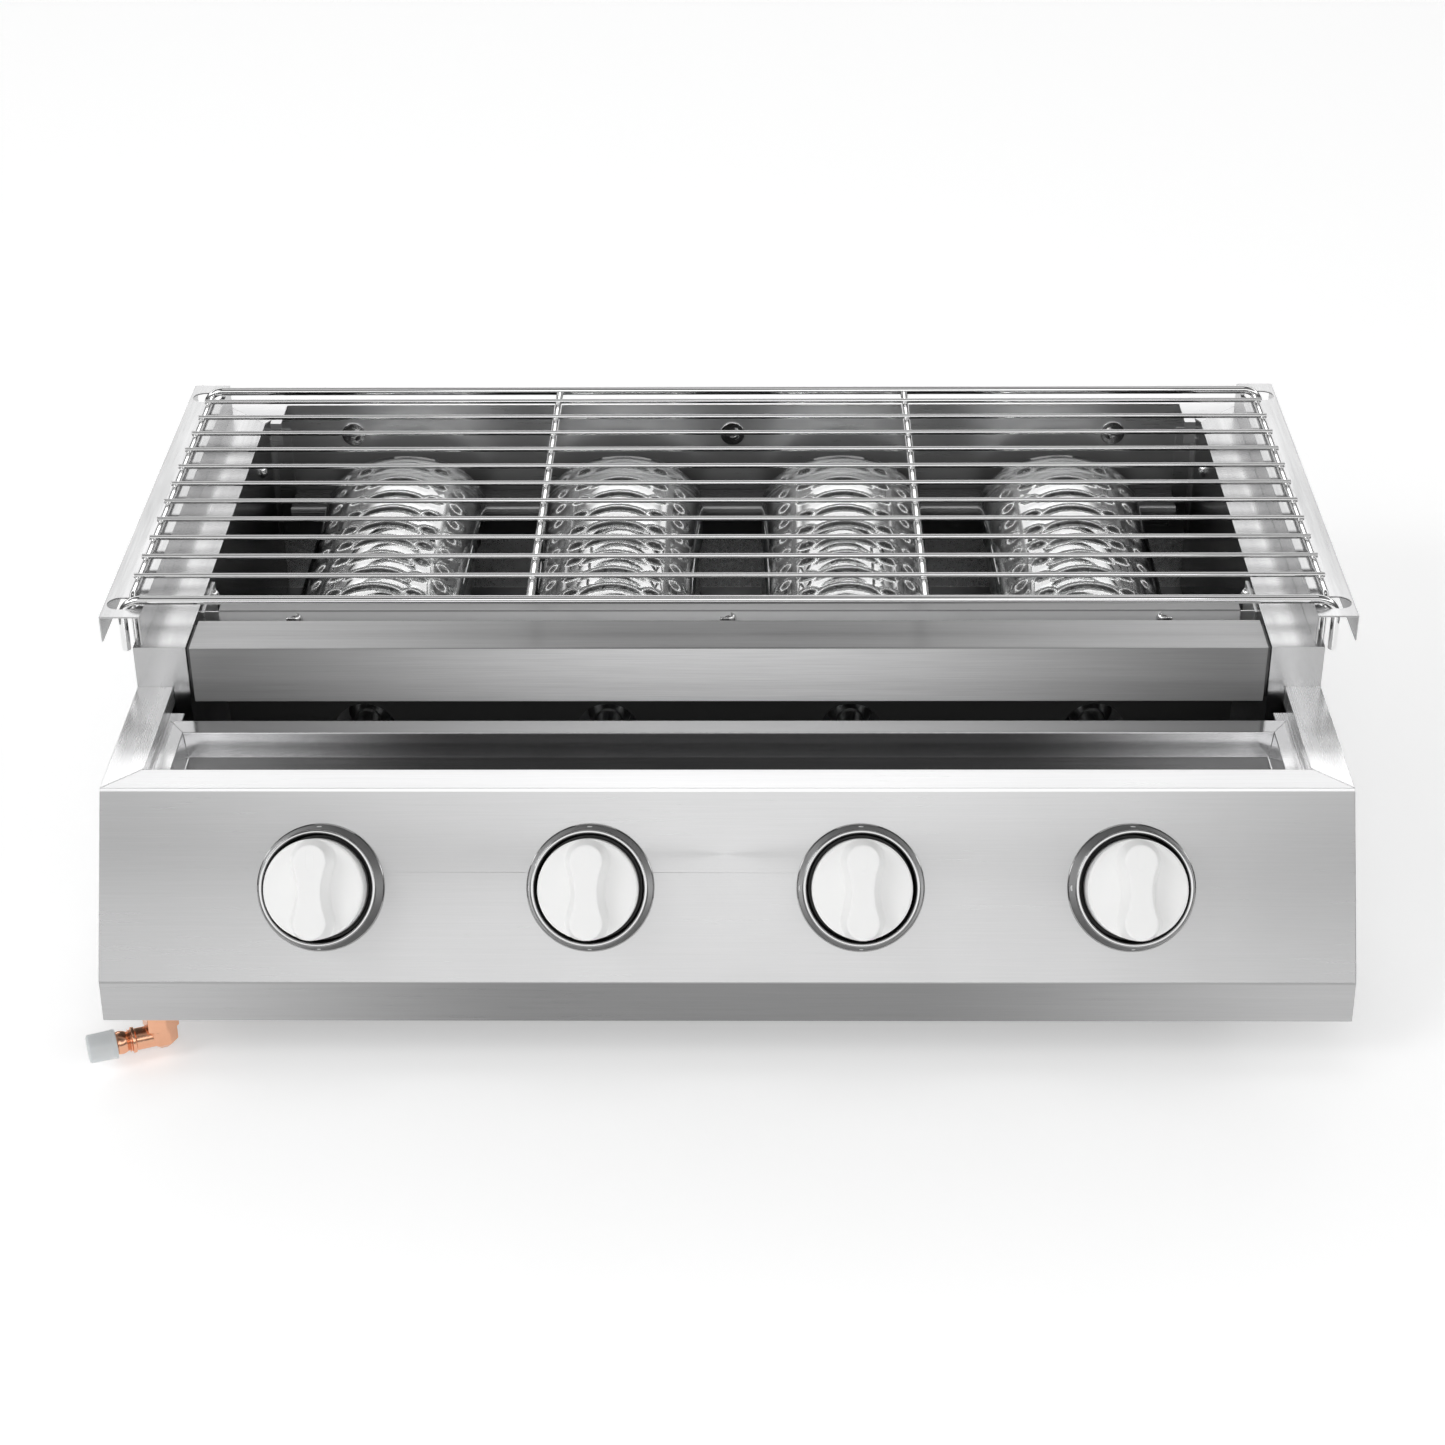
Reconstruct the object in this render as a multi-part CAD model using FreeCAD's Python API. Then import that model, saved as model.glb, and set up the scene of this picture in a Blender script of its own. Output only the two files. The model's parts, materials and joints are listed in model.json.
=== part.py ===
import FreeCAD, Part
import math
import os

# Four-burner table-top gas barbecue grill, in millimetres.
# +Z is up, -Y is the front with the knobs, +X is to the right seen from the front.
# The origin is on the ground under the middle of the whole grill.

V = FreeCAD.Vector

# ---- driving dimensions -------------------------------------------------------
CASE_W = 720.0            # width of the outer casing
CASE_H = 120.5            # height of the outer casing
CASE_DEPTH = 472.0        # front top edge to the rear sheet
FEET_H = 35.0             # height of the rubber feet
SHEET = 1.0               # thickness of the folded steel sheet
FRONT_Y = -197.33         # y of the casing's front top edge

FACE_DROP = 94.2          # height of the sloped control face
FACE_RUN = 58.5           # how far that face comes forward
SKIRT_RUN = 1.9           # forward lean of the short skirt under it
FLANGE_W = 20.7           # width of the casing's top flange
FLANGE_LIP = 10.0         # its inner downward return
HEM = 4.0                 # folded hem along the foot of the front panel
SEAM = 0.15               # gap left where two sheets meet
OVERCUT = 5.0             # how far cutting tools reach past a sheet

POST_D = 116.9            # depth at which the upper frame begins
POST_TOP = 27.3           # height of the upper frame above the casing flange
POST_FOOT = -60.0         # height at which the posts' front faces end
POST_IN = 328.1           # inner half-width between the side frames
WALL_IN = 318.0           # half-width of the burner box end walls
BAR_HALF = 325.9          # half-length of the front cross bar
BAR_DEPTH = 34.2
BAR_BOTTOM = -10.4
BAR_HEM = 9.0
BAR_REAR_LIP = 12.0

BOX_FRONT = 175.0         # depth of the burner box's front wall
BOX_TOP = 21.5            # height of that wall
BOX_FLANGE = 9.0          # its top flange, folded to the back
BOX_FLOOR = -118.0        # height at which its walls end
REAR_WALL_FOOT = -80.0
EAR_W = 32.0              # width of the rear corner ears
EAR_IN = 317.0
EAR_LIP = 16.4
EAR_NOTCH = 3.5           # step in the ears beside the side frames
VENT_H = -54.0            # height of the rear vent slots, behind the glass ledge
VENT_COUNT = 11
VENT_PITCH = 54.0
VENT_HALF = 15.0
VENT_R = 3.0

RAIL_OUT = 378.8          # the two side rails that carry the grate
RAIL_IN = 354.3
RAIL_TOP = 47.2
RAIL_LIP_FOOT = 30.3
RAIL_FRONT = 119.1
RAIL_REAR = 461.2
SLOT_X = 367.0
SLOT_LEN = 20.0
SLOT_W = 15.0
SLOT_FRONT = 136.5
SLOT_REAR = 441.0

ROD_R = 2.75              # front and rear rods of the grate
SIDE_ROD_R = 2.0
MID_ROD_R = 2.5
WIRE_R = 1.6
WIRE_COUNT = 11
WIRE_FIRST = 161.7
WIRE_PITCH = 25.85
WIRE_HALF = 364.8
WIRE_Z = 53.0
ROD_Z = 50.6
LEG_X = 368.0
LEG_FOOT = 16.5
ROD_BEND = 12.0
FRONT_ROD_D = 134.5
REAR_ROD_D = 443.0
SIDE_ROD_X = 362.4
SIDE_BEND = 5.0
LEG_STEP = 5.6            # the side rods' legs stand this far inside the end rods' legs
MID_ROD_X = 119.9
WELD = 0.2                # how deep the welded rods sink into each other

BURNER_PITCH = 154.7      # spacing of the four burners, valves and knobs
BURNER_X = [(i - 1.5) * BURNER_PITCH for i in range(4)]
BURNER_Z = -66.0
BURNER_R = 14.0
BURNER_START = 200.0
BURNER_END = 446.0
BURNER_WALL = 1.2
BURNER_PIN_R = 3.0
FLAME_SLOT_COUNT = 5
FLAME_SLOT_START = 224.0
FLAME_SLOT_PITCH = 48.0
FLAME_SLOT_LEN = 40.0
FLAME_SLOT_W = 1.6
FLAME_SLOT_X = 5.0
MIXER_R = 8.0
MIXER_START = 18.0
MIXER_NECK = 36.0         # where the flared mouth of a mixer tube ends
MIXER_END = 188.0
MIXER_MOUTH_R = 13.0
MIXER_WALL = 1.0
JET_R = 4.5
JET_TIP_R = 2.0
JET_SHOULDER = 9.0
JET_TIP = 14.0
BRANCH_R = 4.0
BRANCH_D = -12.0          # where a branch pipe leaves its valve
BRANCH_Z = -62.0
MIXER_HOLE_R = 20.0

REAR_BRACKET_D = 452.0    # corner brackets of the burner box
REAR_BRACKET_FOOT = -70.0
REAR_BRACKET_TOP = 9.0
REAR_BRACKET_W = 12.0
FRONT_BRACKET_D = 216.0
FRONT_BRACKET_H = 20.0
FRONT_BRACKET_W = 18.1

GLASS_FRONT = 186.0       # pressed-glass burner covers
GLASS_REAR = 450.0
GLASS_A = 57.0            # half-width of the arch
GLASS_B = 36.0            # height of the arch
GLASS_CREST = 0.0
GLASS_BASE = -38.5
GLASS_T = 4.0
GLASS_FOOT_X = 60.0
GLASS_FOOT_H = 3.5
LEDGE_Z = -39.0
LEDGE_REAR = 440.0
LEDGE_FRONT = 198.0
LEDGE_LIP = 6.5
LEDGE_HALF = 315.8
FRONT_LEDGE_INSET = 7.0

TRAY_HALF = 336.8         # drip tray in the front bay
TRAY_FRONT = 22.5
TRAY_REAR = 93.2
TRAY_TOP = -10.0
TRAY_FLOOR = -26.0
TRAY_RIM = 10.0
TRAY_REAR_RIM = 14.0
TRAY_DRAFT = 2.5
TRAY_SHEET = 0.8
TRAY_LEDGE_IN = 330.0     # the ledges folded from the side flanges, which carry the tray
TRAY_LEDGE_REAR = 104.0
TRAY_LEDGE_TOP = -11.0

KNOB_DOWN = 0.512         # place of the knobs down the sloped face, 0 top to 1 bottom
BEZEL_R = 36.7
BEZEL_TOP_R = 33.2
BEZEL_IN_R = 30.8
BEZEL_H = 16.0
BEZEL_FLOOR = 2.0
KNOB_R = 28.4
KNOB_BASE = 7.0
KNOB_FACE = 30.0
KNOB_WALL = 2.4
KNOB_TOP_WALL = 3.0
HUB_R = 7.0
HUB_FOOT = 10.0
GRIP_TOP = 44.0
GRIP_LOBE = 9.6
GRIP_WAIST = 6.6
GRIP_SPAN = 17.2
GRIP_MID = -1.2
GRIP_DRAFT = 2.6
STEM_R = 3.0
NECK_R = 8.0
NECK_BORE = 6.1
NECK_GAP = 0.4            # round the valve neck in the panel and the bezel
NECK_END = 4.0            # how far the neck stands out of the face
VALVE_R = 11.0
VALVE_DEPTH = 38.0        # how far the valve body reaches behind the face
VALVE_BORE_END = 31.0
PLUG_END = 30.0
PLUG_TOP = 14.0
FIT = 0.08                # running clearance of plug and stem
STEM_END = 25.0
STEM_TIP = 24.0
COLLAR_R = 5.4
COLLAR_TOP = 1.5
COLLAR_FOOT = -0.2
SPRING_R = 4.4
SPRING_WIRE = 0.5
SPRING_PITCH = 1.35
SPRING_COILS = 7
SPRING_FOOT = -13.2

ELBOW_X = -330.7
ELBOW_D = -45.0
ELBOW_Z = -141.3
ELBOW_R = 8.6
ELBOW_DROP = 7.2          # how far the elbow's foot lies below its arm's axis
ELBOW_CHAMFER = 3.6
LOCK_NUT_H = 14.0
LOCK_NUT_ACROSS = 18.6
ARM_BASE_R = 6.2          # the arm is thicker beside the elbow
ARM_BASE_END = 15.0
ARM_R = 5.2
ARM_BORE = 3.2
ARM_END = 40.6
ARM_BALL = 24.6           # place of the sealing ball along the arm
ARM_BALL_R = 7.0
CAP_R = 8.8
CAP_START = 27.1
CAP_END = 43.6
CAP_WALL_END = 41.6
CAP_BORE = 5.6
CAP_SEAT_R = 7.4          # hollow in the cap's mouth that clears the ball
ARM_TURN = 21.0           # the inlet's arm points left and this far to the front
MANIFOLD_Z = -95.0
MANIFOLD_R = 6.0
MANIFOLD_END = 20.0       # how far it reaches past the last valve

PAD_R = 17.5              # rubber feet
PAD_TIP_R = 15.0
PAD_RIM = 5.0
PAD_BORE = 16.0
FOOT_SCREW_LEN = 14.0
FOOT_HEAD_R = 4.8
FOOT_HEAD_H = 3.2
PAN_SLOT_COUNT = 12
PAN_SLOT_PITCH = 46.0
PAN_SLOT_LEN = 30.0
PAN_SLOT_W = 5.0
PAN_SLOT_DEPTHS = (70.0, 86.0)
FOOT_X = 300.0
FOOT_FRONT_D = 26.0
FOOT_REAR_D = 436.0
SCREW_R = 2.5
SCREW_LEN = 6.5
HOLE_R = 2.6
HEAD_BALL = 5.6           # ball that the domed screw heads are cut from
HEAD_SINK = 2.0           # how far its centre lies behind the seat
NUT_H = 3.5
NUT_ACROSS = 8.0
WASHER_R = 8.6
WASHER_T = 1.2
WALL_SCREW_X = [-271.0, 0.0, 271.0]
REAR_SCREW_H = 5.0
FRONT_SCREW_H = 15.0
SIDE_SCREWS = [(414.0, 3.0), (210.0, 14.0)]    # depth and height, on both side frames

CASE_TOP = FEET_H + CASE_H
HALF = CASE_W / 2.0
FACE_ANGLE = math.degrees(math.atan2(FACE_DROP, FACE_RUN))


# ---- helpers --------------------------------------------------------------------
def at_y(depth):
    """y of a place given as its depth behind the casing's front top edge."""
    return FRONT_Y + depth


def at_z(height):
    """z of a place given as its height above the casing's top flange."""
    return CASE_TOP + height


def box(x0, x1, d0, d1, h0, h1):
    """Block between two x, two depths and two heights, in any order."""
    xa, xb = min(x0, x1), max(x0, x1)
    da, db = min(d0, d1), max(d0, d1)
    ha, hb = min(h0, h1), max(h0, h1)
    return Part.makeBox(xb - xa, db - da, hb - ha, V(xa, at_y(da), at_z(ha)))


def rod(radius, start, end):
    """Round bar between two points given as (x, depth, height)."""
    a = V(start[0], at_y(start[1]), at_z(start[2]))
    b = V(end[0], at_y(end[1]), at_z(end[2]))
    return Part.makeCylinder(radius, (b - a).Length, a, b - a)


def ball_at(radius, place):
    return Part.makeSphere(radius, V(place[0], at_y(place[1]), at_z(place[2])))


def cone(r0, r1, start, end):
    a = V(start[0], at_y(start[1]), at_z(start[2]))
    b = V(end[0], at_y(end[1]), at_z(end[2]))
    return Part.makeCone(r0, r1, (b - a).Length, a, b - a)


def fuse(shapes):
    shape = shapes[0]
    if len(shapes) > 1:
        shape = shape.multiFuse(shapes[1:])
    return shape.removeSplitter()


def save(name, shape):
    shape.exportStep("parts/" + name + ".step")


def save_group(name, shapes):
    save(name, Part.makeCompound(shapes))


def offset_path(points, distance):
    """The same open outline, moved to its right by the distance, with mitred corners."""
    moved = []
    last = len(points) - 1
    for i, point in enumerate(points):
        before = V(*point) - V(*points[i - 1]) if i > 0 else V(*points[1]) - V(*point)
        after = V(*points[i + 1]) - V(*point) if i < last else before
        before.normalize()
        after.normalize()
        n1 = V(before.y, -before.x, 0)
        n2 = V(after.y, -after.x, 0)
        shift = (n1 + n2) * (distance / (1.0 + n1.dot(n2)))
        moved.append((point[0] + shift.x, point[1] + shift.y, 0))
    return moved


def folded_sheet(outline, x0, x1):
    """Sheet folded along an outline of (depth, height) points, its thickness on the right."""
    outer = [(d, h, 0) for d, h in outline]
    inner = offset_path(outer, SHEET)
    loop = outer + inner[::-1]
    points = [V(x0, at_y(p[0]), at_z(p[1])) for p in loop]
    face = Part.Face(Part.makePolygon(points + [points[0]]))
    return face.extrude(V(x1 - x0, 0, 0))


def plate_yz(outline, x0, x1):
    """Flat plate between two x, with an outline of (depth, height) points."""
    points = [V(x0, at_y(d), at_z(h)) for d, h in outline]
    face = Part.Face(Part.makePolygon(points + [points[0]]))
    return face.extrude(V(x1 - x0, 0, 0))


def prism_xy(outline, h0, h1):
    """Upright prism between two heights, with an outline of (x, depth) points."""
    points = [V(x, at_y(d), at_z(h0)) for x, d in outline]
    face = Part.Face(Part.makePolygon(points + [points[0]]))
    return face.extrude(V(0, 0, h1 - h0))


def slot_tool(x, depth, length, width, h0, h1, along_x=True):
    """Upright round-ended slot."""
    reach = (length - width) / 2.0
    dx, dd = (reach, 0.0) if along_x else (0.0, reach)
    ends = [rod(width / 2.0, (x + s * dx, depth + s * dd, h0), (x + s * dx, depth + s * dd, h1))
            for s in (-1, 1)]
    if along_x:
        middle = box(x - dx, x + dx, depth - width / 2.0, depth + width / 2.0, h0, h1)
    else:
        middle = box(x - width / 2.0, x + width / 2.0, depth - dd, depth + dd, h0, h1)
    return fuse(ends + [middle])


def face_place(x):
    """Frame on the sloped face at a knob: local +Y up along the face, +Z straight out."""
    depth = -FACE_RUN * KNOB_DOWN
    height = -FACE_DROP * KNOB_DOWN
    turn = FreeCAD.Rotation(V(1, 0, 0), FACE_ANGLE)
    return FreeCAD.Placement(V(x, at_y(depth), at_z(height)), turn)


def on_face(shape, x):
    """Move a shape modelled on the local origin to the knob place at x."""
    moved = shape.copy()
    moved.Placement = face_place(x) * moved.Placement
    return moved


def disc(radius, h0, h1):
    return Part.makeCylinder(radius, h1 - h0, V(0, 0, h0))


# ---- outer casing ---------------------------------------------------------------
def front_panel():
    outline = [(FLANGE_W, -FLANGE_LIP), (FLANGE_W, 0.0), (0.0, 0.0),
               (-FACE_RUN, -FACE_DROP), (-FACE_RUN - SKIRT_RUN, -CASE_H),
               (-FACE_RUN + HEM, -CASE_H)]
    panel = folded_sheet(outline[::-1], -HALF, HALF)
    for s in (-1, 1):
        behind = FLANGE_W + OVERCUT
        mitre = [(s * HALF, 0.0), (s * (HALF - FLANGE_W), FLANGE_W), (s * (HALF - FLANGE_W), behind),
                 (s * (HALF + OVERCUT), behind), (s * (HALF + OVERCUT), 0.0)]
        panel = panel.cut(prism_xy(mitre, -FLANGE_LIP - OVERCUT, OVERCUT))
    for x in BURNER_X:
        panel = panel.cut(on_face(disc(NECK_R + NECK_GAP, -OVERCUT, OVERCUT), x))
    save("front_panel", panel)


def side_panel(side, name):
    inset = SHEET / math.sin(math.radians(FACE_ANGLE)) + SEAM
    outline = [(inset, -SHEET), (inset - FACE_RUN, -FACE_DROP - 2.0 * SEAM),
               (SHEET - FACE_RUN - SKIRT_RUN, -CASE_H + SHEET),
               (CASE_DEPTH, -CASE_H + SHEET), (CASE_DEPTH, -SHEET)]
    wall = plate_yz(outline, side * (HALF - SHEET), side * HALF)
    inner = HALF - FLANGE_W
    flange = prism_xy([(side * HALF, 0.0), (side * inner, FLANGE_W),
                       (side * inner, CASE_DEPTH - SHEET), (side * HALF, CASE_DEPTH - SHEET)],
                      -SHEET, 0.0)
    foot = TRAY_LEDGE_TOP - SHEET
    lip = box(side * inner, side * (inner - SHEET), FLANGE_W + SHEET, POST_D, foot, 0.0)
    ledge = box(side * inner, side * TRAY_LEDGE_IN, FLANGE_W + 2.0 * SHEET, TRAY_LEDGE_REAR,
                foot, TRAY_LEDGE_TOP)
    save(name, fuse([wall, flange, lip, ledge]))


def base_pan():
    near = -FACE_RUN + HEM + SEAM
    pan = box(-HALF + SHEET, HALF - SHEET, near, CASE_DEPTH, -CASE_H, -CASE_H + SHEET)
    low = -CASE_H - OVERCUT
    high = -CASE_H + OVERCUT
    for i in range(PAN_SLOT_COUNT):
        x = (i - (PAN_SLOT_COUNT - 1) / 2.0) * PAN_SLOT_PITCH
        for d in PAN_SLOT_DEPTHS:
            pan = pan.cut(slot_tool(x, d, PAN_SLOT_LEN, PAN_SLOT_W, low, high))
    for x in (-FOOT_X, FOOT_X):
        for d in (FOOT_FRONT_D, FOOT_REAR_D):
            pan = pan.cut(rod(HOLE_R, (x, d, low), (x, d, high)))
    pan = pan.cut(rod(MANIFOLD_R + 2.0 * SEAM, (ELBOW_X, ELBOW_D, low), (ELBOW_X, ELBOW_D, high)))
    save("base_pan", pan)


def cut_vents(sheet):
    """Row of round-ended slots through the upright sheets at the back."""
    near = CASE_DEPTH - OVERCUT
    far = CASE_DEPTH + OVERCUT
    for i in range(VENT_COUNT):
        x = (i - (VENT_COUNT - 1) / 2.0) * VENT_PITCH
        slot = [rod(VENT_R, (x + s * VENT_HALF, near, VENT_H), (x + s * VENT_HALF, far, VENT_H))
                for s in (-1, 1)]
        slot.append(box(x - VENT_HALF, x + VENT_HALF, near, far, VENT_H - VENT_R, VENT_H + VENT_R))
        sheet = sheet.cut(fuse(slot))
    return sheet


def back_panel():
    panel = box(-HALF + SHEET, HALF - SHEET, CASE_DEPTH, CASE_DEPTH + SHEET, -CASE_H + SHEET, -SEAM)
    save("back_panel", cut_vents(panel))


def feet():
    pads = []
    screws = []
    top = -CASE_H
    for x in (-FOOT_X, FOOT_X):
        for d in (FOOT_FRONT_D, FOOT_REAR_D):
            seat = top + SHEET
            pad = fuse([cone(PAD_TIP_R, PAD_R, (x, d, top - FEET_H), (x, d, top - PAD_RIM)),
                        rod(PAD_R, (x, d, top - PAD_RIM), (x, d, top))])
            pads.append(pad.cut(rod(HOLE_R, (x, d, top - PAD_BORE), (x, d, top))))
            screws.append(fuse([rod(SCREW_R, (x, d, top - FOOT_SCREW_LEN), (x, d, seat)),
                                rod(FOOT_HEAD_R, (x, d, seat), (x, d, seat + FOOT_HEAD_H))]))
    save_group("rubber_feet", pads)
    save_group("foot_screws", screws)


# ---- upper frame ----------------------------------------------------------------
def side_frame(side, name):
    top = prism_xy([(side * HALF, POST_D), (side * POST_IN, POST_D),
                    (side * POST_IN, CASE_DEPTH - EAR_W), (side * HALF, CASE_DEPTH - SEAM)],
                   POST_TOP - SHEET, POST_TOP)
    outer = box(side * HALF, side * (HALF - SHEET), POST_D, CASE_DEPTH - SHEET, 0.0, POST_TOP)
    inner = box(side * POST_IN, side * (POST_IN + SHEET), POST_D, CASE_DEPTH - SHEET,
                BOX_FLOOR, POST_TOP - SHEET)
    upper_face = box(side * POST_IN, side * HALF, POST_D, POST_D + SHEET, 0.0, POST_TOP)
    lower_face = box(side * POST_IN, side * (HALF - FLANGE_W - SHEET - SEAM), POST_D, POST_D + SHEET,
                     POST_FOOT, 0.0)
    frame = fuse([top, outer, inner, upper_face, lower_face])
    for d, h in SIDE_SCREWS:
        hole = rod(HOLE_R, (side * (POST_IN - OVERCUT), d, h), (side * (POST_IN + OVERCUT), d, h))
        frame = frame.cut(hole)
    save(name, frame)


def rear_wall():
    near = CASE_DEPTH - SHEET
    ear_front = CASE_DEPTH - EAR_W
    step_x = POST_IN - EAR_NOTCH
    pieces = [box(-HALF + SHEET, HALF - SHEET, near, CASE_DEPTH, REAR_WALL_FOOT, POST_TOP - SHEET),
              box(-EAR_IN, EAR_IN, near, CASE_DEPTH, 0.0, POST_TOP)]
    for s in (-1, 1):
        ear = [(s * HALF, CASE_DEPTH), (s * (POST_IN + SEAM), ear_front + SEAM),
               (s * step_x, ear_front + 2.0 * EAR_NOTCH), (s * step_x, ear_front),
               (s * EAR_IN, ear_front), (s * EAR_IN, CASE_DEPTH)]
        pieces.append(prism_xy(ear, POST_TOP - SHEET, POST_TOP))
        pieces.append(box(s * EAR_IN, s * step_x, ear_front, ear_front + SHEET,
                          POST_TOP - EAR_LIP, POST_TOP))
    shape = cut_vents(fuse(pieces))
    for x in WALL_SCREW_X:
        shape = shape.cut(rod(HOLE_R, (x, CASE_DEPTH - OVERCUT, REAR_SCREW_H),
                              (x, CASE_DEPTH + OVERCUT, REAR_SCREW_H)))
    for s in (-1, 1):
        shape = shape.cut(box(s * (HALF - SHEET), s * (HALF + OVERCUT), near - SEAM, CASE_DEPTH + SEAM,
                              -SEAM, POST_TOP - SHEET))
    save("rear_wall", shape)


def cross_bar():
    rear = POST_D + BAR_DEPTH
    outline = [(POST_D + BAR_HEM, BAR_BOTTOM), (POST_D, BAR_BOTTOM), (POST_D, POST_TOP),
               (rear, POST_TOP), (rear, POST_TOP - BAR_REAR_LIP)]
    save("front_cross_bar", folded_sheet(outline, -BAR_HALF, BAR_HALF))
    inset = 2.0 * SHEET
    plates = [box(s * BAR_HALF, s * POST_IN, POST_D + inset, rear - inset,
                  BAR_BOTTOM + inset, POST_TOP - inset) for s in (-1, 1)]
    save_group("cross_bar_end_plates", plates)


def corner_brackets():
    shapes = []
    for s in (-1, 1):
        wall = s * POST_IN
        rear = fuse([box(wall, wall - s * SHEET, REAR_BRACKET_D, CASE_DEPTH - SHEET,
                         REAR_BRACKET_FOOT, REAR_BRACKET_TOP),
                     box(wall, wall - s * REAR_BRACKET_W, CASE_DEPTH - 2.0 * SHEET, CASE_DEPTH - SHEET,
                         REAR_BRACKET_FOOT, REAR_BRACKET_TOP)])
        front = fuse([box(wall, wall - s * SHEET, BOX_FRONT, FRONT_BRACKET_D,
                          -FRONT_BRACKET_H, FRONT_BRACKET_H),
                      box(wall, wall - s * FRONT_BRACKET_W, BOX_FRONT + SHEET, BOX_FRONT + 2.0 * SHEET,
                          -FRONT_BRACKET_H, FRONT_BRACKET_H)])
        d, h = SIDE_SCREWS[1]
        front = front.cut(rod(HOLE_R, (wall - s * OVERCUT, d, h), (wall, d, h)))
        shapes += [rear, front]
    save_group("corner_brackets", shapes)


def grate_rail(side, name):
    top = box(side * RAIL_IN, side * RAIL_OUT, RAIL_FRONT, RAIL_REAR, RAIL_TOP - SHEET, RAIL_TOP)
    inner = box(side * RAIL_IN, side * (RAIL_IN + SHEET), RAIL_FRONT, RAIL_REAR, POST_TOP, RAIL_TOP)
    outer = box(side * RAIL_OUT, side * (RAIL_OUT - SHEET), RAIL_FRONT, RAIL_REAR,
                RAIL_LIP_FOOT, RAIL_TOP)
    rail = fuse([top, inner, outer])
    for d in (SLOT_FRONT, SLOT_REAR):
        rail = rail.cut(slot_tool(side * SLOT_X, d, SLOT_LEN, SLOT_W,
                                  RAIL_TOP - OVERCUT, RAIL_TOP + OVERCUT))
    save(name, rail)


# ---- burner box -------------------------------------------------------------------
def burner_box_front():
    outline = [(BOX_FRONT, BOX_FLOOR), (BOX_FRONT, BOX_TOP), (BOX_FRONT + BOX_FLANGE, BOX_TOP)]
    wall = folded_sheet(outline, -WALL_IN, WALL_IN)
    near = BOX_FRONT - OVERCUT
    far = BOX_FRONT + OVERCUT
    for x in BURNER_X:
        wall = wall.cut(rod(MIXER_HOLE_R, (x, near, BURNER_Z), (x, far, BURNER_Z)))
    for x in WALL_SCREW_X:
        wall = wall.cut(rod(HOLE_R, (x, near, FRONT_SCREW_H), (x, far, FRONT_SCREW_H)))
    save("burner_box_front", wall)


def glass_ledges():
    back = CASE_DEPTH - SHEET
    near = BOX_FRONT + 2.0 * SHEET
    foot = LEDGE_Z - LEDGE_LIP
    front_half = LEDGE_HALF - FRONT_LEDGE_INSET
    rear = folded_sheet([(LEDGE_REAR, foot), (LEDGE_REAR, LEDGE_Z), (back, LEDGE_Z)],
                        -LEDGE_HALF, LEDGE_HALF)
    front = folded_sheet([(near, LEDGE_Z), (LEDGE_FRONT, LEDGE_Z), (LEDGE_FRONT, foot)],
                         -front_half, front_half)
    save_group("glass_ledges", [rear, front])


def pan_screw(x, depth, height, shank):
    """Screw along the depth axis: domed head towards the front, shank towards the back."""
    head = Part.makeSphere(HEAD_BALL, V(x, at_y(depth + HEAD_SINK), at_z(height)))
    keep = box(x - WASHER_R, x + WASHER_R, depth, depth - HEAD_BALL, height - WASHER_R, height + WASHER_R)
    body = rod(SCREW_R, (x, depth, height), (x, depth + shank, height))
    return fuse([head.common(keep), body])


def hex_nut(start, end, across, bore):
    a = V(start[0], at_y(start[1]), at_z(start[2]))
    b = V(end[0], at_y(end[1]), at_z(end[2]))
    radius = across / math.sqrt(3.0)
    ring = [V(radius * math.cos(math.radians(60 * i)), radius * math.sin(math.radians(60 * i)), 0)
            for i in range(6)]
    nut = Part.Face(Part.makePolygon(ring + [ring[0]])).extrude(V(0, 0, (b - a).Length))
    if bore:
        nut = nut.cut(Part.makeCylinder(bore, (b - a).Length + 2.0 * OVERCUT, V(0, 0, -OVERCUT)))
    nut.Placement = FreeCAD.Placement(a, FreeCAD.Rotation(V(0, 0, 1), b - a))
    return nut


def wall_fasteners():
    screws = []
    nuts = []
    washers = []
    wall = CASE_DEPTH - SHEET
    for x in WALL_SCREW_X:
        screws.append(pan_screw(x, wall - WASHER_T, REAR_SCREW_H, SCREW_LEN))
        washer = rod(WASHER_R, (x, wall, REAR_SCREW_H), (x, wall - WASHER_T, REAR_SCREW_H))
        hole = rod(HOLE_R, (x, wall + OVERCUT, REAR_SCREW_H), (x, wall - OVERCUT, REAR_SCREW_H))
        washers.append(washer.cut(hole))
        nuts.append(hex_nut((x, CASE_DEPTH, REAR_SCREW_H),
                            (x, CASE_DEPTH + NUT_H, REAR_SCREW_H), NUT_ACROSS, HOLE_R))
        screws.append(pan_screw(x, BOX_FRONT, FRONT_SCREW_H, SCREW_LEN))
        nuts.append(hex_nut((x, BOX_FRONT + SHEET, FRONT_SCREW_H),
                            (x, BOX_FRONT + SHEET + NUT_H, FRONT_SCREW_H), NUT_ACROSS, HOLE_R))
    for s in (-1, 1):
        for i, (d, h) in enumerate(SIDE_SCREWS):
            face = POST_IN - i * SHEET
            head = Part.makeSphere(HEAD_BALL, V(s * (face + HEAD_SINK), at_y(d), at_z(h)))
            keep = box(s * face, s * (face - HEAD_BALL), d - WASHER_R, d + WASHER_R,
                       h - WASHER_R, h + WASHER_R)
            shank = rod(SCREW_R, (s * face, d, h), (s * (face + SCREW_LEN), d, h))
            screws.append(fuse([head.common(keep), shank]))
            outside = POST_IN + SHEET
            nuts.append(hex_nut((s * outside, d, h), (s * (outside + NUT_H), d, h),
                                NUT_ACROSS, HOLE_R))
    save_group("wall_screws", screws)
    save_group("wall_nuts", nuts)
    save_group("wall_washers", washers)


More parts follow.
